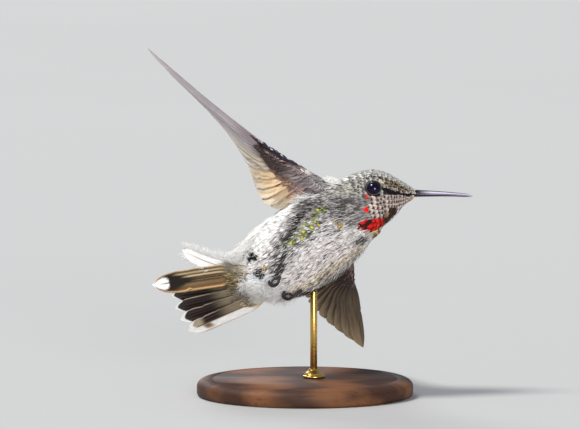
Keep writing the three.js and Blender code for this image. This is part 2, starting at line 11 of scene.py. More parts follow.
import bpy
import numpy as np
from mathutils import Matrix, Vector


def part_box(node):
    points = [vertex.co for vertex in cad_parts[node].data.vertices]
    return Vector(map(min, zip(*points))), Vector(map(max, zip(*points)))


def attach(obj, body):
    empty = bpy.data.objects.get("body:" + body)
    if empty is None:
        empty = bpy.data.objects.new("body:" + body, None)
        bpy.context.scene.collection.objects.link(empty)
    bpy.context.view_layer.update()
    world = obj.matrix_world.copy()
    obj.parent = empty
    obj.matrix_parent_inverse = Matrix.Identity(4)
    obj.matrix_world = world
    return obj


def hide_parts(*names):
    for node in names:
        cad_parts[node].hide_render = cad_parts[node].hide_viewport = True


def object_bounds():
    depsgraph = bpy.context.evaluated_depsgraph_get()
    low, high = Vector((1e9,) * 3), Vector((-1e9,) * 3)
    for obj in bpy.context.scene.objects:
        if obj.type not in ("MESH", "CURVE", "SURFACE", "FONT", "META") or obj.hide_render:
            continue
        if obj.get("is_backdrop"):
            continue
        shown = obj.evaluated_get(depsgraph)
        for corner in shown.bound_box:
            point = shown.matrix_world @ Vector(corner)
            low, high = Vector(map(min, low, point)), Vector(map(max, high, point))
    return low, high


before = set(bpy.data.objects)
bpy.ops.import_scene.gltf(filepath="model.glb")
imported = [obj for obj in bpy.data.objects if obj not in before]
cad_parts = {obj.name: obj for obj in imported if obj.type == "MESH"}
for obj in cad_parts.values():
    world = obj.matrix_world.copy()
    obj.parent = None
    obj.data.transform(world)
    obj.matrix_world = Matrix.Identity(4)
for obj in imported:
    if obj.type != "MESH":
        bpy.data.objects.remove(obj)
cad_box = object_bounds()

MM = 0.001
rng = np.random.default_rng(1967)

# ------------------------------------------------------------------ driving sizes, as the solids have them

# x, z, roll, wide, back and belly of the coat's surface at each station
STATIONS = np.array([
    [-17.7, 34.1, 52, 3.9, 2.9, 3.1],
    [-14.5, 34.8, 54, 7.0, 6.4, 6.4],
    [-10.2, 36.5, 57, 10.1, 9.6, 9.9],
    [-5.1, 39.5, 59, 12.0, 10.9, 11.8],
    [0.0, 43.2, 60, 12.6, 11.3, 12.5],
    [4.9, 46.8, 57, 12.1, 11.1, 12.5],
    [9.1, 50.2, 48, 10.7, 11.0, 11.8],
    [12.8, 53.5, 36, 8.8, 9.9, 11.4],
    [16.0, 55.9, 26, 7.5, 8.3, 11.0],
    [19.4, 57.3, 19, 6.9, 7.7, 9.7],
    [22.9, 57.9, 15, 5.9, 6.5, 8.3],
    [25.7, 58.1, 13, 4.3, 4.7, 6.4],
    [28.3, 58.1, 12, 2.7, 2.9, 3.6],
    [30.9, 57.9, 12, 1.55, 1.4, 1.5],
])
LAST = len(STATIONS) - 1
STEP = 0.13  # stations to either side over which the spine's direction is taken
# Past its ends the coat runs on: millimetres to a station, and the share of its size that it loses over one
PAST_TAIL = dict(run=3.3, narrow=0.16)
PAST_BILL = dict(run=2.6, wide=0.3, back=0.1, belly=0.5)

# bare is how near to the eye's middle the feathers in front of it end
EYE = dict(station=9.2, angle=84, radius=2.3, sunk=1.35, socket=2.45, bare=1.95)
LIDS = dict(ring=2.1, roll=0.15, height=1.16)
BILL = dict(
    root_x=30.4, length=17.6, mouth_z=57.75, tip_drop=0.55, wide=1.2, buried=0.6, taper=0.68,
    keel=0.1, groove=0.08, groove_end=0.6, nostril=(0.13, 0.035), pinch=0.3,
)
TORSO_MIDDLE, TORSO_AXIS = 5.0, 4.0  # the stations whose point and direction give the torso's middle plane
WING = dict(
    span=64, shoulder=(4.9, -2.2, 59.3), out=(-0.787, 0, 0.617), set_back=4.2, swing=-1.5, dip=3,
    twist={1: 84, -1: 42}, twist_from=10, twist_over=9.5, hollow=0.9, forward=1.3, edge=0.5,
)
ARM = dict(start=-7, end=25, deep=(5.0, 0.9), wide=(7.6, 1.4), ahead=2.2, back=0.87, full=0.46, rounded=0.12)
# A pair runs from the innermost primary to the tip, and from the outermost secondary to the body. s is the
# root's place along the span, c its place across the wing
PRIMARIES = dict(
    count=10, s=(14.6, 21), c=(1.2, -0.2), near=49, far=1, length=(17.5, 43), wide=5.0,
    outer=(0.42, 0.24), inner=(0.58, 0.76), curve=(0.4, 2.2), ridge=(0.05, 0.16),
)
SECONDARIES = dict(count=6, s=(13, 4.6), c=(1.4, 2.2), angle=(55, 81), length=(15, 10.2), wide=5.2)
SHINGLE = 0.26  # how much a wing feather slopes across its width, so that it laps over the next
TAIL = dict(
    root=(-14.9, 0.6, 33.0), back=(-0.966, 0.17, -0.175), belly=(0.1, -0.87, -0.48), wide=6.2,
    length=(26, 26.7, 27.2, 27.3, 27),
)
TAIL_HALVES = {  # each pair is the middle feather's value and the step to the next one out
    1: dict(sideways=(3.5, 0.25), angle=(0.5, 0.12), start=(0.6, 0.2), lift=-0.33, tilt=0.34, tip=0.26),
    -1: dict(sideways=(0.6, 1.15), angle=(-9, 6.5), start=(-2.2, -0.3), lift=-0.3, tilt=0.26, tip=0.15),
}
PLUME = dict(start=(-15.6, -1.6, 36.2), end=(-35.1, -1.6, 41.9), bow=1.3, wide=5.0, faces=(0, 1, 0.22))
BRIDGE_END = (-21.0, -1.4, 39.4)  # where the white strands of the flank meet the plume
LEGS = {  # hip, knee, ankle and the way the toes lie
    "leg_right": ((2.3, 170), (-6.0, -9.4, 37.6), (-7.4, -10.6, 34.6), (-0.3, -0.35, -0.9)),
    "leg_left": ((2.9, 212), (-1.4, -7.0, 30.8), (-3.4, -8.0, 29.2), (-0.85, -0.3, -0.4)),
}
LEG = dict(shin=(0.5, 0.38), ankle=0.46, toe=(0.34, 0.25), front_toe=3.2, hind_toe=2.2, spread=0.42)
ROD = dict(x=2.5, y=0.6, radius=1.0)
BASE = dict(lip=(3.2, 2.24), groove=(4.2, 4.5, 4.8), groove_deep=0.28)  # widths are measured from its rim
AXIS = 0.01  # the radius at which a turned form ends on its axis

# ------------------------------------------------------------------ numbers and colours


def mix(a, b, t):
    return a + (b - a) * t


def smooth(x, low, high):
    t = np.clip((x - low) / (high - low), 0, 1)
    return t * t * (3 - 2 * t)


def bell(x, at, half):
    """1 at a value, falling to about a third at half on either side of it."""
    return np.exp(-(((x - at) / half) ** 2))


def unit(v):
    v = np.asarray(v, float)
    return v / np.maximum(np.linalg.norm(v, axis=-1, keepdims=True), 1e-12)


def together(*values):
    """Numbers and arrays as arrays of one shape."""
    return np.broadcast_arrays(*(np.asarray(value, float) for value in values))


def moved(origin, *steps):
    """origin moved by pairs of an axis and how far along it."""
    for axis, distance in steps:
        origin = origin + axis * np.asarray(distance)[..., None]
    return origin


def turn(v, axis, degrees):
    """v turned about a unit axis."""
    a = math.radians(degrees)
    return v * math.cos(a) + np.cross(axis, v) * math.sin(a) + axis * np.dot(axis, v) * (1 - math.cos(a))


def curve_at(points, t):
    """Points of a Catmull-Rom curve, which is at points[0] where t is 0 and at points[1] where t is 1."""
    points = np.vstack([2 * points[0] - points[1], points, 2 * points[-1] - points[-2]])
    i = np.minimum(t.astype(int), len(points) - 4)
    w = (t - i)[..., None]
    a, b, c, d = (points[i + k] for k in range(4))
    return 0.5 * (2 * b + (c - a) * w + (2 * a - 5 * b + 4 * c - d) * w**2 + (3 * b - a - 3 * c + d) * w**3)


def colour(code):
    """A code as linear light. What is a number or a colour in linear light already stays as it is."""
    if not isinstance(code, str):
        return code
    c = np.array([int(code[i : i + 2], 16) for i in (0, 2, 4)]) / 255
    return np.where(c <= 0.04045, c / 12.92, ((c + 0.055) / 1.055) ** 2.4)


def colours(codes):
    return [colour(code) for code in codes.split()]


def shade(low, high, t):
    """A colour between two."""
    return mix(colour(low), colour(high), t)


def blend(base, top, amount):
    """Paints top over base, by an amount from 0 to 1 at each place."""
    return colour(base) + (colour(top) - colour(base)) * np.asarray(amount)[..., None]


def plain(code, like):
    """One colour at every place of an array."""
    return np.broadcast_to(colour(code), like.shape + (3,))


def with_gloss(rgb, gloss=0.0):
    """Paint, which is a colour and its metal gloss at each place."""
    return np.concatenate([rgb, np.broadcast_to(gloss, rgb.shape[:-1] + (1,))], -1)


# ------------------------------------------------------------------ the body's surface


def stations_at(t):
    return curve_at(STATIONS, np.clip(t, 0, LAST))


def spine(t):
    """At stations t, the coat's values, the spine's point, the way forward and the way to the back."""
    at = stations_at(t)
    within = np.clip(t, STEP, LAST - STEP)
    run = stations_at(within + STEP) - stations_at(within - STEP)
    forward = unit(np.stack([run[..., 0], 0 * t, run[..., 1]], -1))
    up = np.stack([-forward[..., 2], 0 * t, forward[..., 0]], -1)
    roll = np.radians(at[..., 2])[..., None]
    dorsal = up * np.cos(roll) + np.array([0, 1, 0]) * np.sin(roll)
    return at, np.stack([at[..., 0], 0 * t, at[..., 1]], -1), forward, dorsal


def body(t, angle, out=0.0):
    """Points of the coat's surface, grown by out. It runs straight on past both ends and narrows there."""
    t, angle, out = together(t, angle, out)
    at, centre, forward, dorsal = spine(t)
    behind, ahead = np.minimum(t, 0), np.maximum(t - LAST, 0)
    narrow = 1 + PAST_TAIL["narrow"] * behind
    sizes = zip((3, 4, 5), ("wide", "back", "belly"))
    wide, back, belly = (at[..., column] * (1 - PAST_BILL[key] * ahead) for column, key in sizes)
    a = np.radians(angle)
    across = (wide * narrow + out) * np.sin(a)
    deep = (np.where(np.cos(a) > 0, back, belly) * narrow + out) * np.cos(a)
    centre = moved(centre, (forward, PAST_TAIL["run"] * behind + PAST_BILL["run"] * ahead))
    return moved(centre, (np.cross(forward, dorsal), across), (dorsal, deep))


def surface_axes(surface, t, angle):
    """At a place on a surface, the millimetres to a unit of t and to a degree, and the way out of it."""
    tail = surface(t - 0.1, angle) - surface(t + 0.1, angle)
    around = surface(t, angle + 1) - surface(t, angle - 1)
    per_unit = np.linalg.norm(tail, axis=-1) / 0.2
    per_degree = np.linalg.norm(around, axis=-1) / 2
    return per_unit, per_degree, unit(np.cross(tail, around))


def from_back(angle):
    """An angle round the body on either side, as its distance from the middle of the back."""
    angle = np.mod(angle, 360)
    return np.minimum(angle, 360 - angle)


def eye_place(side):
    """The eyeball's middle and the way out of the head there."""
    rim, within = (body(EYE["station"], side * EYE["angle"], out) for out in (0.0, -2.0))
    outward = unit(rim - within)
    return rim - outward * EYE["sunk"], outward


# ------------------------------------------------------------------ meshes


def add_piece(name, parts, look, stands_for=()):
    """One object of several parts. A part has points, quads and triangles, and feathers have more:

    paint is a colour with its metal gloss, barb the place in its own feather, and uv the place on the unwrap.
    flat_quads and flat_tris say which faces aren't smoothed: the rims and undersides of sheets.
    """

    def all_of(key, width):
        return np.concatenate([part[key].reshape(-1, width) for part in parts])

    def fill(layer, key, values):
        layer.data.foreach_set(key, values.astype(np.float32).ravel())

    offsets = np.cumsum([0] + [part["points"].size // 3 for part in parts[:-1]])
    quads, tris = (np.concatenate([p[key] + o for p, o in zip(parts, offsets)]) for key in ("quads", "tris"))
    loops = np.concatenate([quads.ravel(), tris.ravel()]).astype(np.int32)
    starts = np.concatenate([np.arange(len(quads)) * 4, len(quads) * 4 + np.arange(len(tris)) * 3])
    flats = [p.get("flat_" + key, np.zeros(len(p[key]), bool)) for key in ("quads", "tris") for p in parts]

    mesh = bpy.data.meshes.new(name)
    points = all_of("points", 3)
    mesh.vertices.add(len(points))
    mesh.vertices.foreach_set("co", (points * MM).astype(np.float32).ravel())
    mesh.loops.add(len(loops))
    mesh.loops.foreach_set("vertex_index", loops)
    mesh.polygons.add(len(starts))
    mesh.polygons.foreach_set("loop_start", starts.astype(np.int32))
    mesh.update(calc_edges=True)
    mesh.polygons.foreach_set("use_smooth", ~np.concatenate(flats))
    if "paint" in parts[0]:
        fill(mesh.color_attributes.new("paint", "FLOAT_COLOR", "POINT"), "color", all_of("paint", 4))
        fill(mesh.attributes.new("barb", "FLOAT_VECTOR", "POINT"), "vector", all_of("barb", 3))
        fill(mesh.uv_layers.new(name="OFBake"), "uv", all_of("uv", 2)[loops])
    mesh.materials.append(look)

    piece = bpy.data.objects.new(name, mesh)
    bpy.context.scene.collection.objects.link(piece)
    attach(piece, "root")
    if stands_for:
        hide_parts(*stands_for)


NO_TRIS = np.zeros((0, 3), int)  # for a form of quads alone


def grid_quads(rows, columns, closed=False):
    """Faces between rows of points; closed joins the last column to the first."""
    r, c = np.meshgrid(np.arange(rows - 1), np.arange(columns if closed else columns - 1), indexing="ij")
    n = (c + 1) % columns
    quads = np.stack([r * columns + c, (r + 1) * columns + c, (r + 1) * columns + n, r * columns + n], -1)
    return quads.reshape(-1, 4)


def tube(rings):
    """A closed form through rings of equal length, (rows, sides, 3), with a fan over each end."""
    rows, sides = rings.shape[:2]
    points = np.concatenate([rings.reshape(-1, 3), rings[0].mean(0)[None], rings[-1].mean(0)[None]])
    i = np.arange(sides)
    n = (i + 1) % sides
    first, last, end = rows * sides, rows * sides + 1, (rows - 1) * sides
    fans = np.stack([0 * i + first, i, n], -1), np.stack([0 * i + last, end + n, end + i], -1)
    return dict(
        points=points, quads=grid_quads(rows, sides, closed=True)[:, ::-1], tris=np.concatenate(fans)[:, ::-1]
    )


def with_ends(values):
    """Values for the points of a tube, from those of its rings."""
    values = values.reshape(-1, values.shape[-1])
    return np.concatenate([values, values[:1], values[-1:]])


def repeat_faces(faces, count, stride):
    """The faces of one item, for many items whose points follow one another."""
    return (faces[None] + (np.arange(count) * stride)[:, None, None]).reshape(-1, faces.shape[1])


def line_frames(line, hint):
    """Side and top vectors along a line or lines of points, the top one kept near the hint."""
    along = unit(np.gradient(line, axis=-2))
    side = unit(np.cross(along, np.broadcast_to(hint, along.shape)))
    return side, np.cross(side, along)


def round_bar(line, radii, hint, sides=12):
    """A bar along a line of points, with a radius at each of them."""
    side, top = line_frames(line, hint)
    a = np.linspace(0, 2 * np.pi, sides, endpoint=False)
    ring = side[:, None] * np.cos(a)[:, None] + top[:, None] * np.sin(a)[:, None]
    return tube(line[:, None] + ring * radii[:, None, None])


def smooth_line(points, count):
    """A curve through a few points, evenly stepped."""
    return curve_at(np.asarray(points, float), np.linspace(0, len(points) - 1, count))


# ------------------------------------------------------------------ small body feathers and loose barbs

# The sheet of a small feather: rows from the quill outwards, and columns across it
VANE_ROWS = np.array([0.3, 0.54, 0.68, 0.8, 0.91, 1.0])
VANE_COLUMNS = np.array([-1, -0.5, 0, 0.5, 1.0])
VANE_WIDTH = np.array([0.72, 1.0, 1.0, 0.94, 0.76, 0.48])
TIP_NOTCH = 0.1
BAKE_HALF = 0.0015  # half the width of a small feather's own patch of the unwrap
BARB_SEED = 7.0  # loose barbs all have the same streaks


def vane_template():
    """A feather's own coordinates (u along, v across) and its faces. Point 0 is the quill."""
    rows, columns = len(VANE_ROWS), len(VANE_COLUMNS)
    v = np.broadcast_to(VANE_COLUMNS, (rows, columns))
    notch = np.where(np.arange(columns) % 2 == 1, TIP_NOTCH, 0) * smooth(VANE_ROWS, 0.8, 1.0)[:, None]
    u = VANE_ROWS[:, None] * (1 - 0.2 * v**2 * VANE_ROWS[:, None] ** 2) - notch
    places = np.stack([u, v * VANE_WIDTH[:, None], v], -1).reshape(-1, 3)
    top = grid_quads(rows, columns) + 1
    left, right = 1 + np.arange(rows) * columns, np.arange(1, rows + 1) * columns
    under = np.stack([left[:-1], right[:-1], right[1:], left[1:]], -1)
    first = np.arange(1, columns)
    quill = np.stack([0 * first, first, first + 1], -1)
    tip, second = 1 + (rows - 1) * columns, np.arange(1, columns - 1)
    end = np.stack([0 * second + tip, tip + second + 1, tip + second], -1)
    return dict(
        places=np.concatenate([np.zeros((1, 3)), places]),
        quads=np.concatenate([top, under]), flat_quads=np.repeat([False, True], [len(top), len(under)]),
        tris=np.concatenate([quill, [[0, right[0], left[0]]], end]),
        flat_tris=np.repeat([False, True], [len(quill), len(end) + 1]),
    )


VANE = vane_template()


def walk(surface, t, angle, heading, distance):
    """Places reached by going a distance over a surface from each root."""
    per_unit, per_degree, _ = surface_axes(surface, t, angle)
    h = np.radians(heading)
    return t - distance * (np.cos(h) / per_unit), angle + distance * (np.sin(h) / per_degree)


def body_root(t, angle):
    """The place of a root on the unwrapped body."""
    return np.stack([0.02 + 0.96 * (np.mod(angle, 360) / 360), 0.06 + 0.9 * (t + 1) / (LAST + 1)], -1)


def bake_uv(root, u, v):
    """A small feather's own patch of the unwrap, at its root's place."""
    return root + BAKE_HALF * np.stack([v, 2 * u - 1], -1)


def small_feathers(f, surface=body):
    """Sheets for the feathers in f, a dict of numbers and of arrays with one entry to a feather."""
    count, stride = len(f["t"]), len(VANE["places"])
    f = {key: np.broadcast_to(value, (count, *np.shape(value)[1:]))[:, None] for key, value in f.items()}
    rows = np.concatenate([[0], VANE_ROWS])
    back, around = walk(surface, f["t"], f["angle"], f["heading"], f["length"] * rows)
    line = surface(back, around, f["root"] + (f["tip"] - f["root"]) * rows**1.3)
    _, _, normal = surface_axes(surface, back, around)
    along = unit(np.gradient(line, axis=1))
    side = unit(np.cross(normal, along))
    lean = np.radians(f["lean"])[..., None]
    side, normal = side * np.cos(lean) + normal * np.sin(lean), normal * np.cos(lean) - side * np.sin(lean)
    row = np.concatenate([[0], 1 + np.repeat(np.arange(len(VANE_ROWS)), len(VANE_COLUMNS))])
    u, across, v = VANE["places"].T
    half = f["width"] / 2
    points = moved(
        line[:, row], (along[:, row], (u - rows[row]) * f["length"]), (side[:, row], across * half),
        (normal[:, row], f["dome"] * (1 - v**2) * half * (u > 0)),
    )

    from_dab = ((u - f["dab_at"]) / f["dab_long"]) ** 2 + (v / f["dab_wide"]) ** 2
    centre = np.exp(-(from_dab**2))
    rgb = blend(f["margin"], f["centre"], centre * f["dab"])
    rgb = rgb * mix(f["base_dark"], 1, smooth(u, 0.15, 0.75))[..., None]
    return dict(
        points=points, **{key: repeat_faces(VANE[key], count, stride) for key in ("quads", "tris")},
        **{key: np.tile(VANE[key], count) for key in ("flat_quads", "flat_tris")},
        paint=with_gloss(rgb, (f["gloss"] * mix(0.4, 1, centre))[..., None]),
        barb=np.stack(together(u, v, f["seed"]), -1), uv=bake_uv(f["uv"], u, v),
    )


def barbs(lines, width, normal, rgb, uv):
    """Thin three-sided tubes along lines (count, rows, 3) that taper to a point."""
    count, rows = lines.shape[:2]
    side, top = line_frames(lines, normal)
    taper = (1 - np.linspace(0, 1, rows) ** 1.6)[:, None] * np.asarray(width)[..., None] / 2
    corners = [side * c + top * s * 0.6 for c, s in ((1, -0.5), (-1, -0.5), (0, 1))]
    rings = np.stack([lines + corner * taper for corner in corners], 2)[:, :-1]
    points = np.concatenate([rings.reshape(count, -1, 3), lines[:, -1:]], 1)
    stride, end = points.shape[1], (rows - 2) * 3
    tris = np.array([[2, 1, 0]] + [[end + k, end + (k + 1) % 3, stride - 1] for k in range(3)])
    rgb = np.broadcast_to(rgb, lines.shape)
    along = np.append(np.repeat(np.linspace(0, 1, rows)[:-1], 3), 1)
    return dict(
        points=points, quads=repeat_faces(grid_quads(rows - 1, 3, closed=True)[:, ::-1], count, stride),
        tris=repeat_faces(tris, count, stride),
        paint=with_gloss(np.concatenate([np.repeat(rgb[:, :-1], 3, axis=1), rgb[:, -1:]], 1)),
        barb=np.stack(together(along, np.zeros((count, 1)), BARB_SEED), -1), uv=bake_uv(uv, along, 0 * along),
    )


# ------------------------------------------------------------------ the markings

WHITE, BLACK, RED = "faf9f6", "0d0a09", "ff1a0c"
GREEN, BRONZE, DUSKY = "5f7030", "5c5a2c", "51453f"
ALONG, ROUND = 3.4, 0.16  # about how many millimetres there are to a station, and to a degree


def patch(t, s, at, reach, edge=0.5):
    """1 inside an ellipse of the body's surface, fading to 0 over its edge."""
    d = np.hypot((t - at[0]) / reach[0], (s - at[1]) / reach[1])
    return 1 - smooth(d, 1 - edge, 1 + edge)


def band(t, s, path, half, edge=0.5):
    """1 near a line over the body, given as (station, angle) pairs in order of station."""
    stations, angles = np.array(path).T
    d = np.abs(s - np.interp(t, stations, angles)) / half
    starts, ends = (smooth(t, end - 0.2, end + 0.2) for end in (stations[0], stations[-1]))
    return (1 - smooth(d, 1 - edge, 1 + edge)) * (starts * (1 - ends))


def area(t, s, corners, soft=0.35):
    """1 inside an outline of (station, angle) corners, fading to 0 over a soft edge in millimetres."""
    p = np.stack([t * ALONG, s * ROUND], -1)
    corners = np.array(corners) * (ALONG, ROUND)
    nearest = np.full(np.shape(t), np.inf)
    inside = np.zeros(np.shape(t), bool)
    for a, b in zip(corners, np.roll(corners, -1, 0)):
        w = np.clip((p - a) @ (b - a) / ((b - a) @ (b - a)), 0, 1)[..., None]
        nearest = np.minimum(nearest, np.linalg.norm(p - a - w * (b - a), axis=-1))
        crosses = (a[1] > p[..., 1]) != (b[1] > p[..., 1])
        level = (p[..., 1] - a[1]) / (b[1] - a[1] if b[1] != a[1] else 1)
        inside ^= crosses & (p[..., 0] < a[0] + level * (b[0] - a[0]))
    return smooth(np.where(inside, nearest, -nearest), -soft, soft)


# Outlines of marks on the right side, as (station, angle) corners; the left side mirrors them
FLANK_LINE = [(1.9, 158), (2.25, 154), (2.68, 142), (3.08, 130), (3.55, 123), (4.05, 116), (4.68, 104)]
WHITE_FLANK = [(6.3, 38), (6.1, 68), (4.75, 78), (4.0, 96), (3.05, 108), (1.6, 118), (-1.2, 118), (-1.2, 38)]
GREY_FLANK = [
    (6.6, 70), (6.5, 138), (5.2, 150), (3.2, 152), (2.2, 160), (2.2, 128), (3.05, 108), (4, 96),
    (4.75, 78),
]
LORE = [
    (9.7, 82), (10.2, 80), (10.4, 89), (11.1, 91), (12.4, 98), (13.9, 92), (13.9, 114), (12.35, 110),
    (9.7, 95),
]
OLIVE_FLANK = [(3.1, 134), (4.0, 132), (4.6, 126), (5.4, 110), (5.9, 108)]
EAR = [(6.8, 84), (8.3, 90), (8.8, 106), (8.1, 131), (6.9, 132), (6.3, 108)]
CHEEK = [(6.6, 70), (9.0, 64), (8.9, 100), (8.3, 134), (6.7, 142)]
LATTICE = [(7.9, 118), (8.7, 101), (11, 100), (12.7, 110), (13.2, 181), (10.6, 181), (9.6, 137), (8.0, 140)]
GORGET = [(6.7, 152), (6.9, 142), (7.5, 139), (8.5, 141), (9.5, 149), (9.5, 176), (8.6, 173), (7.1, 167)]
DARK_THROAT = [
    (9.25, 144), (9.7, 135), (10.4, 133), (11.0, 140), (10.9, 162), (10.2, 181), (9.5, 181), (9.4, 156),
]
GOLD_RIM = [(7.0, 164), (8.2, 167), (9.5, 174), (9.6, 181), (6.95, 181)]
TEMPLE = [(9.9, 72), (10.5, 75), (11.2, 82), (12.0, 88)]
MALAR = [(9.6, 184), (10.35, 178), (11.0, 166), (11.5, 153)]


def markings(t, angle, chance):
    """The coat's colours at each place: a feather's margin, its centre, how much of the centre shows, its
    gloss, and how round the dark centre is, from 0 for a long streak to 1 for a spot.

    chance is a random number from 0 to 1 for each place, which decides where only some feathers have a mark.
    """
    angle = np.mod(angle, 360)
    s = from_back(angle)
    rare, half, few = smooth(chance, 0.62, 0.75), smooth(chance, 0.4, 0.55), smooth(chance, 0.86, 0.92)
    now = dict(margin=plain("f4eeeb", t), centre=plain("a08f88", t), dab=0.3, gloss=0.0)

    def lay(where, margin=None, centre=None, dab=None, gloss=None):
        for key, top in (("margin", margin), ("centre", centre)):
            if top is not None:
                now[key] = blend(now[key], top, where)
        for key, top in (("dab", dab), ("gloss", gloss)):
            if top is not None:
                now[key] = mix(now[key], top, where)

    # breast and belly with brown dashes, the grey flank, the white one above it, the vent and the tail's root
    lay(rare, None, "54413a", 0.7)
    low = smooth(angle, 180, 200) * (angle < 262) * smooth(t, 1.6, 2.6)
    lay(low, "fbf3e6", "86694b", 0.5)
    lay(low * half, "ecdcc2", "3b2a1c", 0.8)
    grey = area(t, s, GREY_FLANK, 1.2)
    lay(grey, "efecea", "5d5653", 0.6)
    lay(grey * half, "d3cecc", "27221f", 0.75)
    armpit = patch(t, s, (5.5, 100), (0.95, 20))
    lay(armpit, "aba5a3", "2b2523", 0.8)
    lay(armpit * half, "6f6866", "120f0e", 0.95)
    white = area(t, s, WHITE_FLANK, 0.9)
    lay(white, WHITE, "f2f2ee", 0.1)
    lay(white * few, None, "5f5947", 0.8)
    lay(band(t, s, FLANK_LINE, 9) * smooth(chance, 0.3, 0.4), "7d7674", BLACK, 0.85)
    lay(band(t, s, OLIVE_FLANK, 7) * half, "90936a", "4a4f28", 0.7)
    lay(smooth(-t, -2.2, -1.2) * smooth(s, 128, 152), "f4f7f9", "d3d9dc", 0.25)
    root = smooth(-t, -0.6, 0.2) * smooth(s, 60, 90)
    lay(root, "c2b28c", "5a482e", 0.8)
    lay(root * half, "8d7a55", "2a1f12", 0.9)

    # neck
    neck = smooth(t, 6.0, 6.7) * (1 - smooth(t, 8.2, 9.0))
    lay(neck, "d6d2cf", "38322f", 0.75)
    lay(neck * half, "bab5b2", "0f0c0b", 1.0)
    nape = neck * (1 - smooth(s, 54, 68))
    lay(nape, "e6e4de", "5f5b54", 0.55)
    lay(nape * rare, "b9b6b0", "1a1714", 0.95)
    lay(neck * patch(t, s, (6.35, 158), (0.4, 16)), WHITE, "c9c6c2", 0.4)
    lay(patch(t, s, (6.65, 139), (0.4, 10)), "aaa5a2", "1a1615", 0.9)
    lay(patch(t, s, (6.3, 178), (0.4, 9)), "cfcac4", BLACK, 1.0)
    lay(area(t, s, CHEEK, 1.4), "b0aba8", "1a1615", 0.95)
    behind_eye = patch(t, s, (7.7, 70), (0.8, 17))
    lay(behind_eye, "bdb9b0", "1c1916", 0.9)
    lay(behind_eye * half, "7d7a73", BLACK, 1.0)
    ear = area(t, s, EAR, 1.2)
    lay(ear, "9b9694", "2b2625", 0.85)
    lay(ear * half, "575150", BLACK, 0.95)

    # head
    head = smooth(t, 8.0, 9.0)
    lay(head, "f6f3ee", "4a4039", 0.9)
    lay(head * (1 - smooth(s, 60, 80)), "dddad1", "1d1815", 1.0)
    lay(patch(t, s, (8.05, 80), (0.7, 17)), "b9b5ab", "15120f", 1.0)
    lay(patch(t, s, (8.25, 106), (0.6, 12)), "8d8885", "2a2624", 0.9)
    lay(smooth(t, 9.5, 10.2) * patch(t, s, (11.2, 64), (1.9, 17)), "cdb893", "0f0a08", 1.0)
    lay(patch(t, s, (9.75, 66), (0.5, 3)), "e3d3b8", "a8946f", 0.5)
    lay(band(t, s, TEMPLE, 4), "86653f", "20120a", 1.0)
    lay(area(t + 0.7 * (chance - 0.5), s, LATTICE), "f6e1d4", "1a0705", 1.0)
    lay(smooth(t, 12.2, 12.9) * smooth(s, 110, 130), "f0d2b0", "7a4a30", 0.9)

    # throat: the black lore that runs on under the bill, a dark field of feathers that catch no light, and
    # the red gorget below it with its golden rim
    dark, gold, gorget = area(t, s, DARK_THROAT), area(t, s, GOLD_RIM), area(t, s, GORGET, 0.15)
    lay(area(t, s, LORE, 0.2), BLACK, BLACK, 1.0)
    lay(dark, "472811", "0c0503", 1.0)
    lay(dark * few, "c9a577", None, 0.7)
    lay(band(t, s, MALAR, 8), WHITE, "4a2417", 0.5)
    lay(gold, "9a7a24", "1a1006", 0.8, 0.3)
    lay(gold * rare, "e8d29a", None, 0.9, 0.1)
    lay(gorget, "a30d08", RED, 1.0, 0.15)
    lay(gorget * smooth(chance, 0.68, 0.72), "1d0604", "4a0b06", 0.8)

    # crown, nape and back, which turn from grey to bronze-green; paler on the right side as a painted
    # highlight
    # the green reaches less far down the right side than the left; the white below it there is a painted
    # highlight
    edge = mix(np.where(angle > 180, 74, 47), 36, smooth(t, 5, 7))
    green = smooth(edge + 22 * (chance - 0.75) - s, -2, 5) * (1 - smooth(t + 2.4 * (0.5 - chance), 6.6, 8.0))
    over = np.where(angle > 180, s, s + 24)  # the right side of the crown is pale up to its top, a painted highlight
    crown = (1 - smooth(over, 14, 46)) * smooth(t, 6, 8) * (1 - smooth(t, 9.6, 11.6))
    # painted highlight: the right side of the nape is pale up near the back
    lay(smooth(t, 7.4, 8.6) * (angle < 180) * (1 - smooth(s, 40, 56)), "f4f2ee", "4b453c", 0.85)
    lay(crown, "a3a38a", "34331f", 1.0, 0.2)
    lay(green, "6c7148", BRONZE, 0.8, 0.45)
    lay(green * half, GREEN, "3d4a20", 0.8, 0.6)
    return now["margin"], now["centre"], now["dab"], now["gloss"], smooth(t, 7.4, 8.8)


# ------------------------------------------------------------------ the coat

# How the small feathers change along the body, by station
COAT_AT = [-1.2, 0.5, 3, 5, 6.4, 7.4, 8.4, 9, 10, 11, 12.3, 13, 13.8]
SPACING = [1.25, 1.2, 1.15, 1.1, 1.0, 0.95, 0.9, 0.88, 0.86, 0.78, 0.62, 0.5, 0.42]
LENGTH = [3.2, 4.6, 5.2, 4.6, 3.6, 2.8, 2.0, 1.75, 1.6, 1.4, 1.05, 0.8, 0.6]
WIDTH = [1.35, 1.3, 1.25, 1.2, 1.2, 1.2, 1.15, 1.12, 1.08, 1.0, 0.78, 0.62, 0.5]
DEPTH = [0.5, 0.55, 0.6, 0.55, 0.5, 0.42, 0.33, 0.28, 0.26, 0.22, 0.16, 0.1, 0.08]
SKIN_UNDER = 0.12
SEEN = 0.78  # how far along a small feather the part is that shows between its neighbours
ROW_STEP = 0.8  # from row to row of roots, as a share of the gap inside a row
ALL_ROUND = (0, 181)


def along_coat(values, t):
    return np.interp(t, COAT_AT, values)


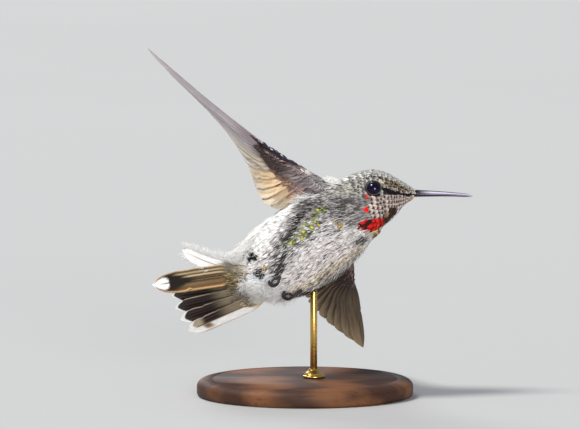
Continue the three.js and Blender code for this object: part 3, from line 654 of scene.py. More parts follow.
def sow(start, end, closeness=1.0, shift=0.0, angles_kept=ALL_ROUND):
    """Stations and angles of roots in staggered rows, within a range of angles on either side of the back."""
    stations, angles = [], []
    t, row = start, 0
    ring = np.linspace(0, 360, 181)
    while t < end:
        girth = np.concatenate([[0], np.cumsum(np.linalg.norm(np.diff(body(t, ring), axis=0), axis=1))])
        gap = along_coat(SPACING, t) * closeness
        count = max(6, int(round(girth[-1] / gap)))
        at = (np.arange(count) + 0.5 * (row % 2) + shift) / count * girth[-1]
        angles.append(np.interp(np.mod(at, girth[-1]), girth, ring))
        stations.append(np.full(count, t))
        per_station = np.linalg.norm(body(t + 0.1, 150) - body(t - 0.1, 150)) / 0.2
        t += gap * ROW_STEP / per_station
        row += 1
    t, angle = np.concatenate(stations), np.concatenate(angles)
    s = from_back(angle)
    kept = (s >= angles_kept[0]) & (s < angles_kept[1])
    return t[kept], angle[kept]


def flow(t, angle):
    """How far each place is from the nearer eye's middle, and which way the feathers lie there."""
    side = np.where(np.mod(angle, 360) < 180, 1, -1)
    per_station, per_degree, _ = surface_axes(body, EYE["station"], EYE["angle"])
    x = (EYE["station"] - t) * per_station
    y = (from_back(angle) - EYE["angle"]) * per_degree
    r2 = np.maximum(x * x + y * y, 1.0)
    ring = (EYE["radius"] + 0.1) ** 2
    past_eye = np.degrees(np.arctan2(-2 * ring * x * y / r2**2, 1 - ring * (x * x - y * y) / r2**2))
    return x, y, side * np.clip(past_eye, -75, 75)


def coat_feathers(t, angle, longer=1.0, wider=1.0):
    """All that small_feathers needs, for roots on the body."""
    count = len(t)
    loose = 0.6 * (1 - smooth(from_back(angle), 92, 106))  # the throat's feathers lie in rows
    loose = np.maximum(smooth(6.8 - t, 0, 1.2), loose)
    t = t + rng.uniform(-1, 1, count) * mix(0.02, 0.15, loose)
    angle = angle + rng.uniform(-1, 1, count) * mix(0.3, 2.2, loose)
    x, y, heading = flow(t, angle)
    heading = heading + rng.normal(0, mix(2.5, 8, loose), count)
    length = along_coat(LENGTH, t) * longer * rng.uniform(0.88, 1.14, count)
    ahead = (x < 0) & (np.abs(y) < LIDS["ring"])  # the feathers in front of the eye end at the lids
    length = np.where(ahead, np.minimum(length, np.maximum(np.hypot(x, y) - EYE["bare"], 0.4)), length)
    chance = rng.uniform(0, 1, count)
    margin, centre, dab, gloss, spot = markings(*walk(body, t, angle, heading, SEEN * length), chance)
    tone = rng.normal(1, mix(0.03, 0.07, loose), count)[:, None].clip(0.7, 1.2)
    f = dict(
        t=t, angle=angle, heading=heading, length=length,
        width=along_coat(WIDTH, t) * wider * rng.uniform(0.85, 1.15, count), root=-along_coat(DEPTH, t),
        tip=rng.uniform(0.02, 0.2, count) * mix(0.5, 1.6, loose), lean=rng.normal(0, 3, count),
        dome=mix(0.1, 0.06, loose) * rng.uniform(0.7, 1.3, count), margin=margin * tone, centre=centre * tone,
        dab=dab, dab_at=mix(0.88, 0.74, spot), dab_long=mix(0.3, 0.26, spot),
        dab_wide=mix(0.4, 0.95, spot) * rng.uniform(0.9, 1.1, count), base_dark=mix(0.75, 0.8, spot),
        gloss=gloss, seed=rng.uniform(0, 50, count), uv=body_root(t, angle),
    )
    keep = np.hypot(x, y) > EYE["radius"] + 0.05
    return {key: value[keep] for key, value in f.items()}


# Marks made of feathers laid one by one over the rest, as (station, angle) pairs
GREEN_DISCS = [(5.38, 104), (4.68, 131), (4.9, 124), (4.18, 128), (3.9, 135), (3.35, 134)]
DULL_DISCS = [
    (5.84, 109), (5.7, 106), (4.93, 118), (4.48, 122), (4.28, 137), (3.72, 131), (3.5, 136), (5.2, 112),
]
GOLD_DISCS = [(5.05, 130), (4.05, 137), (5.75, 134), (5.9, 138), (5.75, 142), (1.78, 136)]
SPECKS = [(8.42, 101), (8.47, 103), (8.1, 118), (8.0, 120), (8.06, 123), (7.9, 121), (8.12, 125)]
BROW = [(8.9, 59), (9.43, 57), (9.73, 58), (10.2, 60), (10.7, 64), (11.12, 65), (11.92, 71), (12.65, 84)]
LORE_LINE = [(9.8, 86), (10.3, 88), (10.8, 92), (11.6, 98), (12.4, 104), (13.3, 104)]
DASHES = [(4.15, 174), (4.35, 173)]
TAIL_SPOTS = [(1.3, 113), (1.1, 101), (0.85, 102), (1.15, 138), (1.25, 147)]
# The discs' places, length and width, a pair of colours for their margins to vary between, and the centre's
# the green and gold discs are iridescent feathers; their bright centres are partly a painted glint
DISCS = [
    (DULL_DISCS, 0.4, 1.4, ("3c4420", "646b38"), "8e9458"),
    (GREEN_DISCS, 0.38, 1.45, ("4a5218", "7c8230"), "c8cc5c"),
    (GOLD_DISCS, 0.36, 1.25, ("5f4f1c", "8a6a28"), "d4b050"),
]
DISC = dict(dab=0.9, gloss=0.2, root=-0.2, dome=0.1, dab_at=0.66, dab_long=0.22, dab_wide=0.55, base_dark=1.0)


def laid_feathers(places, each, spread, longer, wider, **looks):
    """Feathers laid over the coat so that each shows at its place. A look is one value or a pair to mix."""
    t, angle = np.repeat(np.array(places, float), each, axis=0).T
    t = t + rng.normal(0, spread, len(t)) / ALONG
    angle = angle + rng.normal(0, spread, len(t)) / ROUND
    reach = SEEN * along_coat(LENGTH, t) * longer
    f = coat_feathers(t + reach / ALONG, angle, longer, wider)
    tone = rng.uniform(0, 1, (len(f["t"]), 1))
    for key, value in dict(tip=0.3, **looks).items():
        value = shade(*value, tone) if isinstance(value, tuple) else colour(value)
        f[key] = np.broadcast_to(value, f[key].shape)
    return f


def along_path(path, gap):
    """Places every so many millimetres along a path over the body."""
    path = np.array(path)
    steps = np.linalg.norm(np.diff(path * (ALONG, ROUND), axis=0), axis=1)
    at = np.concatenate([[0], np.cumsum(steps)])
    stops = np.arange(0, at[-1], gap)
    return np.stack([np.interp(stops, at, path[:, 0]), np.interp(stops, at, path[:, 1])], -1)


def both_sides(places):
    places = np.asarray(places, float)
    return np.concatenate([places, places * (1, -1) + (0, 360)])


def laid_marks():
    """The discs, the red specks, the brow, the lore's edge and the dashes."""
    black = dict(margin="1c1614", centre=BLACK, gloss=0.0)
    marks = []
    for places, longer, wider, margin, centre in DISCS:
        marks.append(laid_feathers(places, 1, 0.1, longer, wider, margin=margin, centre=centre, **DISC))
    marks.append(laid_feathers(SPECKS, 1, 0.05, 0.55, 0.75, margin=RED, centre=RED, gloss=0.1, base_dark=1.0))
    for places, each, spread, longer, wider in (
        (along_path(BROW, 0.7), 1, 0.08, 0.6, 0.7), (along_path(LORE_LINE, 0.25), 2, 0.16, 0.6, 0.6),
        (DASHES, 2, 0.25, 0.45, 0.35),
    ):
        marks.append(laid_feathers(both_sides(places), each, spread, longer, wider, **black))
    return marks


def coat_barbs(t, angle, each, length, width, lift, wild, tone=None, turn_by=0.0, rows=5):
    """Loose barbs that spring from the coat, several to a root, and lie back along the body."""
    t, angle = (np.repeat(values, each)[:, None] for values in (t, angle))
    one_each = t.shape
    t = t + rng.uniform(-0.15, 0.15, one_each)
    angle = angle + rng.uniform(-3.0, 3.0, one_each)
    heading = turn_by + rng.normal(0, 1, one_each) * wild
    u = np.linspace(0, 1, rows)
    run = length * rng.uniform(0.6, 1.25, one_each) * u
    out = -0.25 + (0.25 + rng.uniform(0.3, 1.2, one_each) * lift) * u**1.4
    straight = np.stack(walk(body, t, angle, heading, run))
    bent = np.stack(walk(body, t, angle, heading + rng.normal(0, wild * 0.9, one_each), run))
    back, around = mix(straight, bent, u**2)
    _, _, normal = surface_axes(body, t, angle)
    if tone is None:
        margin, centre, dab, _, _ = markings(back[:, 3:4], around[:, 3:4], rng.uniform(0, 1, one_each))
        tone = mix(margin, centre, (rng.uniform(0, 1, one_each) < 0.75 * dab)[..., None])
    tone = colour(tone) * rng.normal(1, 0.08, one_each)[..., None].clip(0.7, 1.25)
    rgb = tone * mix(0.85, 1.05, u)[:, None]
    widths = width * rng.uniform(0.6, 1.3, one_each)
    return barbs(body(back, around, out), widths, normal, rgb, body_root(t, angle))


def body_skin():
    """The skin under the coat, with the eyes' sockets pressed in; painted shade in darkened coat colours."""
    t = np.linspace(0, LAST, 260)[:, None]
    angle = np.linspace(0, 360, 150, endpoint=False)[None]
    points = body(t, angle, -along_coat(DEPTH, t) - SKIN_UNDER)
    socket = EYE["socket"]
    for side in (1, -1):
        centre, outward = eye_place(side)
        apart = points - centre
        height = apart @ outward
        across = np.linalg.norm(apart - height[..., None] * outward, axis=-1)
        floor = -np.sqrt(np.maximum(socket**2 - across**2, 0)) - 0.15
        inside = (across < socket) & (height > 0)
        points = np.where(inside[..., None], points + (floor - height)[..., None] * outward, points)
    t, angle = together(t, angle)
    margin, centre, dab, _, _ = markings(t, angle, np.full(t.shape, 0.5))
    form = tube(points)
    # painted shade: the coat's own colours, darkened to stand for the shade between the feathers
    form["paint"] = with_ends(with_gloss(blend(margin, centre, dab * 0.6) * 0.55))
    form["uv"] = with_ends(body_root(t, angle))
    form["barb"] = np.zeros((len(form["paint"]), 3))
    return form


# ------------------------------------------------------------------ flight and tail feathers

VANE_THICK = 0.09
FACE_GAP = 0.012  # keeps the two faces of a sheet apart at its thin edge
SWEPT_BACK = 0.035  # how far the edge of a vane lags behind its rachis, as a share of the length
DISHED = 0.06  # how far the edge of a vane sinks, as a share of its width from the rachis
# The columns of a sheet across its vane, with one on the rachis and as many on either side
HALF_FINE, HALF_PLAIN = [0.08, 0.2, 0.35, 0.5, 0.65, 0.8, 0.9, 1], [0.12, 0.4, 0.75, 1]
FINE, PLAIN = (np.array([-v for v in half[::-1]] + [0] + half) for half in (HALF_FINE, HALF_PLAIN))
COVERT = dict(columns=PLAIN, tip=0.42)
QUILL = "17110f"


def outline(u, tip=0.28):
    """How wide a feather is at u along it: narrow at the quill, full at a third, and round over its tip."""
    end = np.maximum(u - 1 + tip, 0) / (tip + 0.005)
    return smooth(u, -0.12, 0.3) * np.sqrt(np.maximum(1 - end**2, 0.0009))


def big_feather(
    place, length, outer, tint, cell, inner=None, curve=0.0, tip=0.28, rows=30, columns=FINE, ridge=0.1,
    splits=3,
):
    """A closed sheet with a raised rachis and a few splits in its vane. inner is outer's width if not given.

    place turns the feather's own x, y and h into the part's frame. tint gives the paint from u, v and the
    face, 1 on the upper side and -1 on the under side. cell is its square on the unwrap: corner and size.
    """
    u, v = (1 - (1 - np.linspace(0, 1, rows)) ** 1.35)[:, None], columns
    ragged = 1 + 0.012 * rng.normal(0, 1, (rows, 2)) * smooth(u, 0.1, 0.3)
    for _ in range(splits):
        where, edge = rng.uniform(0.4, 0.97), rng.integers(0, 2)
        ragged[:, edge] -= rng.uniform(0.05, 0.2) * bell(u[:, 0], where, 0.025)
    inner = outer if inner is None else inner
    reach = np.where(v < 0, outer * ragged[:, :1], inner * ragged[:, 1:]) * outline(u, tip)
    x = length * (u - SWEPT_BACK * v**2 * smooth(u, 0.1, 0.4))
    y = v * reach + curve * u**2
    rise = (1 - v**8) * VANE_THICK / 2 + ridge * bell(v, 0, 0.08) * mix(1, 0.25, u)
    dish = -DISHED * v**2 * np.abs(reach)
    faces = [place(x, y, dish + side * (rise + FACE_GAP)) for side in (1, -1)]
    barb = np.stack([x, np.abs(y), np.full_like(x, rng.uniform(0, 50))], -1)

    top, number = grid_quads(*x.shape), np.arange(x.size).reshape(x.shape)
    walls = []
    for rim, way in ((number[:, 0], -1), (number[:, -1], 1), (number[0], 1), (number[-1], -1)):
        a, b = rim[:-1], rim[1:]
        walls.append(np.stack([a, b, b + x.size, a + x.size], -1)[:, ::way])
    u, v = together(u, v)
    corner, size = cell
    squares = [corner + size * np.stack([v * 0.21 + middle, 0.04 + u * 0.92], -1) for middle in (0.25, 0.75)]
    quads = np.concatenate([top, top[:, ::-1] + x.size, *walls])
    return dict(
        points=np.stack(faces), quads=quads, tris=NO_TRIS, flat_quads=np.arange(len(quads)) >= 2 * len(top),
        barb=np.stack([barb, barb]), uv=np.stack(squares),
        paint=np.stack([tint(u, v, side) for side in (1, -1)]),
    )


def unwrap_cells(across):
    """Deals out the squares of an unwrap, one to a feather."""
    for i in range(across**2):
        yield np.array([i % across, i // across]) / across, 1 / across


def shares(count):
    """Numbers from 0 to 1, one to each of a row of feathers."""
    return [i / (count - 1) for i in range(count)]


def from_root(s, c, x, y, degrees):
    """Where a feather's own x and y lie, from its root and its angle."""
    a = math.radians(degrees)
    return s + x * math.cos(a) - y * math.sin(a), c + x * math.sin(a) + y * math.cos(a)


def covert_tint(margin, centre, upper=None):
    """Colours of a covert: a dark streak in a paler vane. The upper side may have its own glossy pair."""

    def tint(u, v, face):
        rim, middle, shine = (*upper, 0.5) if (upper and face > 0) else (margin, centre, 0.0)
        dark = bell(v, 0, 0.3) * smooth(u, 0.1, 0.4)
        rgb = blend(plain(rim, u), middle, np.maximum(dark, 0.35 * smooth(np.abs(v), 0.5, 0.7)))
        return with_gloss(rgb, shine)

    return tint


def upper_green(tone):
    """Rim and centre of a covert's upper side, from dark to golden green."""
    return shade("4d5530", "85885a", tone), shade("2c3519", GREEN, tone)


# ------------------------------------------------------------------ wings

# Tip, middle, base and lines of the secondaries, the inner primaries and the outer ones: lit, and in shade
FLIGHT_COLOURS = {
    1: ["f6e6cb eecfa4 cfa884 8f5f36", "f1ebe2 d9c8b2 2f1c15 2c1a12", "e2d9dc d0c6ca a39499 6c5b62"],
    -1: ["a28a66 7c6748 5f4c35 453424", "987f5f 6e5a42 4c3c2b 33261c", "8a7455 5d4c39 43362a 2a201a"],
}
# Rows of coverts, the upper ones first. Each pair runs from beside the body to the hand
WING_COVERTS = [
    dict(face=1, count=14, s=(4, 20), angle=(80, 13), length=(8.2, 11), wide=3.2, c=1.5, lift=0.7),
    dict(face=1, count=14, s=(3, 18), angle=(80, 20), length=(5.6, 7.0), wide=2.9, c=1.1, lift=1.1),
    dict(face=1, count=15, s=(2, 17), angle=(80, 28), length=(3.9, 4.4), wide=2.4, c=0.7, lift=1.5),
    dict(face=1, count=17, s=(1.4, 17), angle=(76, 30), length=(2.6, 2.8), wide=1.9, c=0.1, lift=1.7),
    dict(face=-1, count=19, s=(4, 19), angle=(80, 16), length=(7.2, 5.4), wide=2.3, c=1.3, lift=0.7),
    dict(face=-1, count=20, s=(3.4, 18.5), angle=(80, 20), length=(5.6, 4.6), wide=2.2, c=1.0, lift=0.95),
    dict(face=-1, count=21, s=(2.6, 18.5), angle=(80, 22), length=(4.4, 4.2), wide=2.0, c=0.7, lift=1.2),
    dict(face=-1, count=22, s=(1.8, 19), angle=(76, 24), length=(3.2, 4.0), wide=1.8, c=0.3, lift=1.45),
    dict(face=-1, count=22, s=(1.2, 19), angle=(70, 24), length=(2.4, 2.8), wide=1.6, c=-0.3, lift=1.6),
]


def wing_frame(side):
    """The right wing's frame, or the left one's, mirrored in the torso's middle plane, set back and swung."""
    span, up = unit(WING["out"]), np.array([0.0, 1, 0])
    axes, shoulder = [span, np.cross(span, up), up], np.array(WING["shoulder"])
    if side < 0:
        _, centre, forward, _ = spine(np.array(TORSO_MIDDLE))
        _, _, ahead, dorsal = spine(np.array(TORSO_AXIS))
        right = np.cross(ahead, dorsal)

        def mirror(v):
            return v - 2 * np.dot(v, right) * right

        shoulder = mirror(shoulder - centre) + centre - forward * WING["set_back"]
        axes = [turn(turn(mirror(v), dorsal, WING["swing"]), forward, -WING["dip"]) for v in axes]
    return dict(zip(("span", "chord", "up"), axes), shoulder=shoulder, twist=WING["twist"][side], side=side)


def wing_point(wing, s, c, h):
    """A point of the wing, after the turn of the hand."""
    s, c, h = together(s, c, h)
    turned = np.where(s > WING["twist_from"], 1 - np.exp(-(s - WING["twist_from"]) / WING["twist_over"]), 0)
    a = np.radians(wing["twist"]) * turned
    along = s / WING["span"]
    bow = WING["hollow"] * np.sin(np.pi * along) - WING["forward"] * along**2 - WING["edge"]
    chord, up = c * np.cos(a) - h * np.sin(a) + bow, c * np.sin(a) + h * np.cos(a)
    return moved(wing["shoulder"], (wing["span"], s), (wing["chord"], chord), (wing["up"], up))


def wing_feather(wing, s, c, angle, lift=0.0, drop=0.0, **shape):
    """A feather of the wing: its root, its angle from the span and its height over the middle surface."""

    def place(x, y, h):
        return wing_point(wing, *from_root(s, c, x, y, angle), h + lift - SHINGLE * y - drop * x)

    return big_feather(place, **shape)


def flight_tint(tip, middle, base, line, lines):
    """Colours of a flight feather from its base to its tip, with fine streaks, some of them dark lines."""
    wobble = rng.uniform(0, 6)

    def tint(u, v, face):
        rgb = blend(plain(base, u), middle, smooth(u, 0.12, 0.32))
        rgb = blend(rgb, tip, smooth(u, 0.45, 0.95) * smooth(v, -0.7, 0.5))
        streak = 0.5 + 0.5 * np.sin(12 * v + 3 * u + wobble + np.sin(5 * u + wobble))
        rgb = blend(rgb, line, smooth(streak, 0.72, 1.0) * 0.6 * lines * (1 - smooth(u, 0.75, 0.95)))
        rgb = blend(rgb, line, bell(v, 0, 0.05) * lines)
        if face > 0:
            rgb = mix(rgb, colour(DUSKY), 0.75)
        return with_gloss(rgb * (1 + 0.06 * np.sin(31 * v + 4 * u + wobble))[..., None])

    return tint


def primaries(wing, inner, outer, cells):
    """The hand's flight feathers. inner and outer are the colours of the first and of the last of them."""
    size = PRIMARIES
    for out in shares(size["count"]):
        width = size["wide"] * (0.8 if out == 1 else 1)
        tones = [mix(a, b, smooth(out, 0.2, 0.6)) for a, b in zip(inner, outer)]
        yield wing_feather(
            wing, s=mix(*size["s"], out), c=mix(*size["c"], out),
            angle=size["far"] + (size["near"] - size["far"]) * (1 - out) ** 1.25,
            length=mix(*size["length"], out**1.1), curve=mix(*size["curve"], out),
            outer=width * mix(*size["outer"], out), inner=width * mix(*size["inner"], out),
            tint=flight_tint(*tones, 0.9), cell=next(cells), rows=40, ridge=mix(*size["ridge"], out),
            splits=1,
        )


def secondaries(wing, tones, cells):
    """The arm's flight feathers, darker towards the body."""
    size = SECONDARIES
    for inward in shares(size["count"]):
        yield wing_feather(
            wing, **{key: mix(*size[key], inward) for key in ("s", "c", "angle", "length")},
            outer=size["wide"] * 0.45, inner=size["wide"] * 0.55, curve=0.5,
            tint=flight_tint(*(tone * mix(0.95, 0.4, inward) for tone in tones), 0.8),
            cell=next(cells), ridge=0.04, splits=1,
        )


def wing_coverts(wing, row, cells):
    """A row of coverts, which are warm brown, grey by the arm and dark on the hand."""
    near_arm = smooth(row["lift"], 0.7, 1.5)
    pale = shade("c39c84", "9c9394", near_arm), shade("94705f", "665d60", near_arm)
    dark = shade("8a6050", "5c5254", near_arm), shade("5a3a2e", "2e2729", near_arm)
    for out in shares(row["count"]):
        tone = rng.uniform(0, 1)
        hand = smooth(out, 0.3, 0.7)
        margin = shade(mix(*pale, tone), "3f2c29", 0.85 * hand)
        centre = shade(mix(*dark, tone), "1d1211", 0.9 * hand)
        lift = row["lift"] * (mix(1, 0.45, out) if row["face"] > 0 else 1)
        yield wing_feather(
            wing, s=mix(*row["s"], out) + rng.normal(0, 0.2), c=row["c"] + rng.normal(0, 0.15),
            angle=mix(*row["angle"], out) + rng.normal(0, 8),
            lift=row["face"] * (lift + rng.uniform(-0.1, 0.1)), drop=row["face"] * 0.05,
            length=mix(*row["length"], out) * rng.uniform(0.72, 1.15), outer=row["wide"] / 2,
            tint=covert_tint(margin, centre, upper_green(tone)), cell=next(cells), rows=12, ridge=0.03,
            **COVERT,
        )


def wing_parts(wing):
    secondary, inner, outer = (colours(codes) for codes in FLIGHT_COLOURS[wing["side"]])
    cells = unwrap_cells(16)
    parts = [*primaries(wing, inner, outer, cells), *secondaries(wing, secondary, cells)]
    for row in WING_COVERTS:
        parts += wing_coverts(wing, row, cells)
    return parts


def arm_share(t):
    """How far along the arm a place is, from 0 to 1."""
    return (-t - ARM["start"]) / (ARM["end"] - ARM["start"])


def arm_surface(wing):
    """The arm and hand along the leading edge. t is minus the span, so that feathers lie outwards."""

    def point(t, angle, out=0.0):
        t, angle, out = together(t, angle, out)
        along = np.clip(arm_share(t), 0, 1)
        end = ARM["full"] * np.sqrt(np.clip((1 - along) / ARM["rounded"], 0.02, 1))
        deep, wide = end * mix(*ARM["deep"], along**0.6), end * mix(*ARM["wide"], along**0.9)
        a = np.radians(angle * wing["side"])
        middle = ARM["back"] * wide - ARM["ahead"] * (1 - along)
        return wing_point(wing, -t, middle + (wide + out) * np.cos(a), (deep + out) * np.sin(a))

    return point


def arm_root(t, angle):
    """The place of a root on the unwrapped arm."""
    return np.stack([0.02 + 0.96 * np.mod(angle, 360) / 360, 0.06 + 0.9 * arm_share(t)], -1)


def arm_skin(surface):
    t = -np.linspace(ARM["start"], ARM["end"], 60)[:, None]
    angle = np.linspace(0, 360, 24, endpoint=False)[None]
    form = tube(surface(t, angle, -0.15)[::-1])
    t, angle = together(t, angle)
    form["paint"] = with_ends(with_gloss(plain("4b4656", t)))
    form["uv"] = with_ends(arm_root(t, angle)[::-1])
    form["barb"] = np.zeros((len(form["paint"]), 3))
    return form


def arm_feathers(surface):
    """Rows of small feathers round the arm: mottled beneath, dark on the hand, pale in front as a painted
    highlight, green above.
    """
    t, angle = [], []
    for row, s in enumerate(np.arange(-2.5, 24, 0.6)):
        ring = surface(np.full(61, -s), np.linspace(0, 360, 61))
        count = max(6, int(np.linalg.norm(np.diff(ring, axis=0), axis=1).sum() / 0.7))
        t.append(np.full(count, -s) + rng.normal(0, 0.15, count))
        angle.append((np.arange(count) + 0.5 * (row % 2)) / count * 360 + rng.normal(0, 3, count))
    t, angle = np.concatenate(t), np.mod(np.concatenate(angle), 360)
    count = len(t)
    hand = smooth(-t, 4, 13)
    # rim is a painted highlight: pale small feathers along the leading edge, where the light catches it
    front, rim = bell(angle, 200, 36), bell(angle, 180, 9)
    above = smooth(np.where(angle < 180, np.sin(np.radians(angle)), 0), 0.2, 0.6)
    tuft = np.exp(-(((angle - 200) / 34) ** 2) - ((-t - 4.6) / 1.1) ** 2)
    tone = rng.uniform(0, 1, (count, 1))
    rim = rim * (tone[:, 0] < 0.6)
    margin = blend(shade("bbb4b2", "736b6a", tone), shade("6a5560", "54434b", tone), hand)
    centre = blend(shade("4c4344", "231e1f", tone), shade("2b1c1e", "1d1418", tone), hand)
    margin, centre = blend(margin, "2a2638", front * hand), blend(centre, "0d0c14", front)
    fields = (rim, "f4f4fa", "c9c8d0"), (above, "59642c", BRONZE), (tuft, "f6ece9", "d9c6c2")
    for where, edge, middle in fields:
        margin, centre = blend(margin, edge, where), blend(centre, middle, where)
    return dict(
        t=t, angle=angle, heading=-mix(48, 20, hand) * np.sin(np.radians(angle)) + rng.normal(0, 9, count),
        length=mix(2.9, 2.0, hand) * rng.uniform(0.85, 1.15, count) * mix(1, 0.7, rim) * mix(1, 1.4, tuft),
        width=mix(0.95, 0.8, hand) * rng.uniform(0.85, 1.15, count) * mix(1, 0.45, rim),
        root=-0.2, tip=rng.uniform(0.05, 0.35, count), lean=rng.normal(0, 4, count), dome=0.1, margin=margin,
        centre=centre, dab=0.85, dab_at=0.75, dab_long=0.25, dab_wide=0.5, base_dark=0.6, gloss=0.5 * above,
        seed=rng.uniform(0, 50, count), uv=arm_root(t, angle),
    )


def three_tones(tone, limits, codes):
    """One of three colours at each place, by the limits that a random tone is below."""
    first, second, third = colours(codes)
    return np.where(tone < limits[0], first, np.where(tone < limits[1], second, third))


def wing_strands(wing):
    """Fine barbs that blur the rows of under coverts: grey by the body, then brown, and dark on the hand."""
    one_each, u = (3200, 1), np.linspace(0, 1, 5)
    s = rng.uniform(0.3, 21, one_each)
    c = rng.uniform(-0.6, mix(5.0, 0.7, s / 20))
    a = np.radians(mix(84, 24, smooth(s, 2, 18)) + rng.normal(0, 7, one_each))
    by_body, hand = 1 - smooth(s + c, 2, 8), smooth(s, 6, 14)
    run = rng.uniform(2.0, 3.8, one_each) * u * mix(1, 0.65, smooth(s, 8, 15))
    bend = rng.normal(0, 0.35, one_each) * u**2
    s, c = s + run * np.cos(a) - bend * np.sin(a), c + run * np.sin(a) + bend * np.cos(a)
    h = -1.75 + 0.19 * c - rng.uniform(0, 0.3, one_each) * u + 0.3 * (1 - u)
    tone = rng.uniform(0, 1, one_each)
    grey = three_tones(tone, (0.3, 0.6), "dcd6d4 7f7778 1c1718")
    brown = three_tones(tone, (0.45, 0.75), "c9a792 86614f 452c22")
    rusty = np.where(tone < 0.25, colour("b39a97"), shade("5a403a", "1b1214", tone))
    rgb = mix(mix(brown, grey, by_body), rusty, hand)[:, None]
    uv = np.stack([0.1 + 0.8 * s[:, :1] / 25, 0.1 + 0.08 * c[:, :1]], -1)
    return barbs(wing_point(wing, s, c, h), rng.uniform(0.12, 0.34, one_each), -wing["up"], rgb, uv)


# ------------------------------------------------------------------ tail

TAIL_COVERTS = [
    dict(face=-1, count=17, length=9.0, wide=1.6, lift=2.0, drop=0.06, spread=2.4, pitch=0.72),
    dict(face=-1, count=17, length=7.4, wide=1.6, lift=2.4, drop=0.11, spread=2.6, pitch=0.72),
    dict(face=-1, count=15, length=5.8, wide=1.6, lift=2.8, drop=0.17, spread=2.8, pitch=0.76),
    dict(face=-1, count=13, length=4.4, wide=1.5, lift=3.2, drop=0.24, spread=3.0, pitch=0.8),
    dict(face=1, count=12, length=10.0, wide=2.5, lift=1.6, drop=0.1, spread=2.1, pitch=0.95),
    dict(face=1, count=12, length=8.0, wide=2.4, lift=2.0, drop=0.1, spread=2.1, pitch=0.95),
    dict(face=1, count=11, length=6.2, wide=2.3, lift=2.4, drop=0.1, spread=2.4, pitch=1.0),
    dict(face=1, count=10, length=4.6, wide=2.2, lift=2.8, drop=0.1, spread=2.6, pitch=1.05),
]
# Across, half width and colour of the streaks on the under side of the shut half
STREAKS = [
    (-0.93, 0.05, "dcb987"), (-0.8, 0.07, "8a5a31"), (-0.62, 0.08, "2c1a0f"), (-0.42, 0.04, "cfae80"),
    (-0.28, 0.12, "1d110a"), (-0.02, 0.05, "93704a"), (0.14, 0.1, "180e08"), (0.32, 0.04, "d8bd94"),
    (0.48, 0.09, "2a190e"), (0.64, 0.04, "cdb88f"), (0.8, 0.09, "432b18"), (0.94, 0.05, "dccbaa"),
]


def tail_frame():
    back, belly = unit(TAIL["back"]), np.array(TAIL["belly"])
    up = -unit(belly - back * np.dot(belly, back))
    return dict(root=np.array(TAIL["root"]), back=back, up=up, right=np.cross(up, back))


def tail_point(tail, back, right, rise):
    return moved(tail["root"], (tail["back"], back), (tail["right"], right), (tail["up"], rise))


def tail_feather(tail, sideways, angle, lift=0.0, drop=0.0, tilt=0.0, start=0.0, **shape):
    """A feather of the tail: start is its root's place behind the tail's, sideways is to the bird's right."""

    def place(x, y, h):
        x, y, h = together(x, y, h)
        return tail_point(tail, *from_root(start, sideways, x, y, angle), lift + h + tilt * y - drop * x)

    return big_feather(place, **shape)


def rectrix_tint(side, k):
    """Tail feather k from the middle, on the side that is fanned (-1) or shut (1)."""
    wobble = rng.uniform(0, 6)

    def fanned(u, v):
        outer = smooth(-v, 0.04, 0.12)
        # streaks along the vane; in the dark band the paler ones are a painted sheen
        streak = 0.5 + 0.5 * np.sin(15 * v + wobble)
        rgb = plain(shade("55573a", "94866f", smooth(k, 0, 2)), u) * (0.8 + 0.3 * streak)[..., None]
        rgb = blend(rgb, blend("1d1618", "493c37", streak**3), smooth(u + 0.06 * streak, 0.45, 0.66))
        if k == 4:
            rgb = blend(rgb, "b3a48c", smooth(u, 0.76, 0.84) * (1 - outer))
            rgb = blend(rgb, blend("d9c8a6", WHITE, smooth(u, 0.15, 0.3)), outer)
            smudge = smooth(u, 0.7, 0.76) * (1 - smooth(u, 0.8, 0.85)) * smooth(v, -0.9, -0.5)
            rgb = blend(rgb, "8a6a45", outer * smudge)
            rgb = blend(rgb, WHITE, smooth(u - 0.08 * v, 0.88, 0.91))
        rgb = blend(rgb, "b7a994", smooth(np.abs(v), 0.84, 0.94) * smooth(u, 0.4, 0.8) * 0.8)
        rim_from = mix(0.97, 0.925, smooth(k, 1, 4))
        return blend(rgb, WHITE, smooth(u + 0.05 * v**2, rim_from, rim_from + 0.012) * smooth(k, -1, 1))

    def shut(u, v):
        rgb = plain("8a6e49", u)
        sway = 0.03 * np.sin(3 * u + wobble)
        for at, half, code in STREAKS:
            rgb = blend(rgb, code, bell(v - sway, at, half) * smooth(u, 0.08, 0.3))
        dark_end = smooth(u + 0.1 * np.cos(4 * v), 0.58, 0.72) * (1 - smooth(np.abs(v), 0.74, 0.9))
        oval = 1 - smooth(np.hypot((u - 0.9) / 0.088, v / 0.7), 0.85, 1.05)
        rgb = blend(blend(rgb, "1b110b", dark_end), "a98257", smooth(u, 0.86, 0.95) * (1 - oval))
        return blend(rgb, WHITE, smooth(k, 0.5, 2.6) * np.maximum(oval, smooth(u, 0.975, 0.985)))

    def tint(u, v, face):
        rgb = shut(u, v) if side > 0 and face < 0 else fanned(u, v)
        if k == 0 and face > 0:
            ribs = 0.5 + 0.5 * np.sin(21 * v + 6 * u + wobble)
            rgb = mix(rgb, blend("3a4522", "6f7a3c", ribs), 0.92)
        return with_gloss(blend(rgb, QUILL, bell(v, 0, 0.05) * (1 - smooth(u, 0.85, 0.95))))

    return tint


def rectrices(tail, side, half, cells):
    """Half of the tail's long feathers, from the middle outwards."""
    for k, length in enumerate(TAIL["length"]):
        sideways, angle, start = (half[key][0] + half[key][1] * k for key in ("sideways", "angle", "start"))
        yield tail_feather(
            tail, sideways=side * sideways, angle=side * angle, start=start, lift=half["lift"] * k,
            tilt=side * half["tilt"], length=length, outer=TAIL["wide"] / 2, tip=half["tip"],
            tint=rectrix_tint(side, k), cell=next(cells), rows=56, ridge=0.11, splits=1,
        )


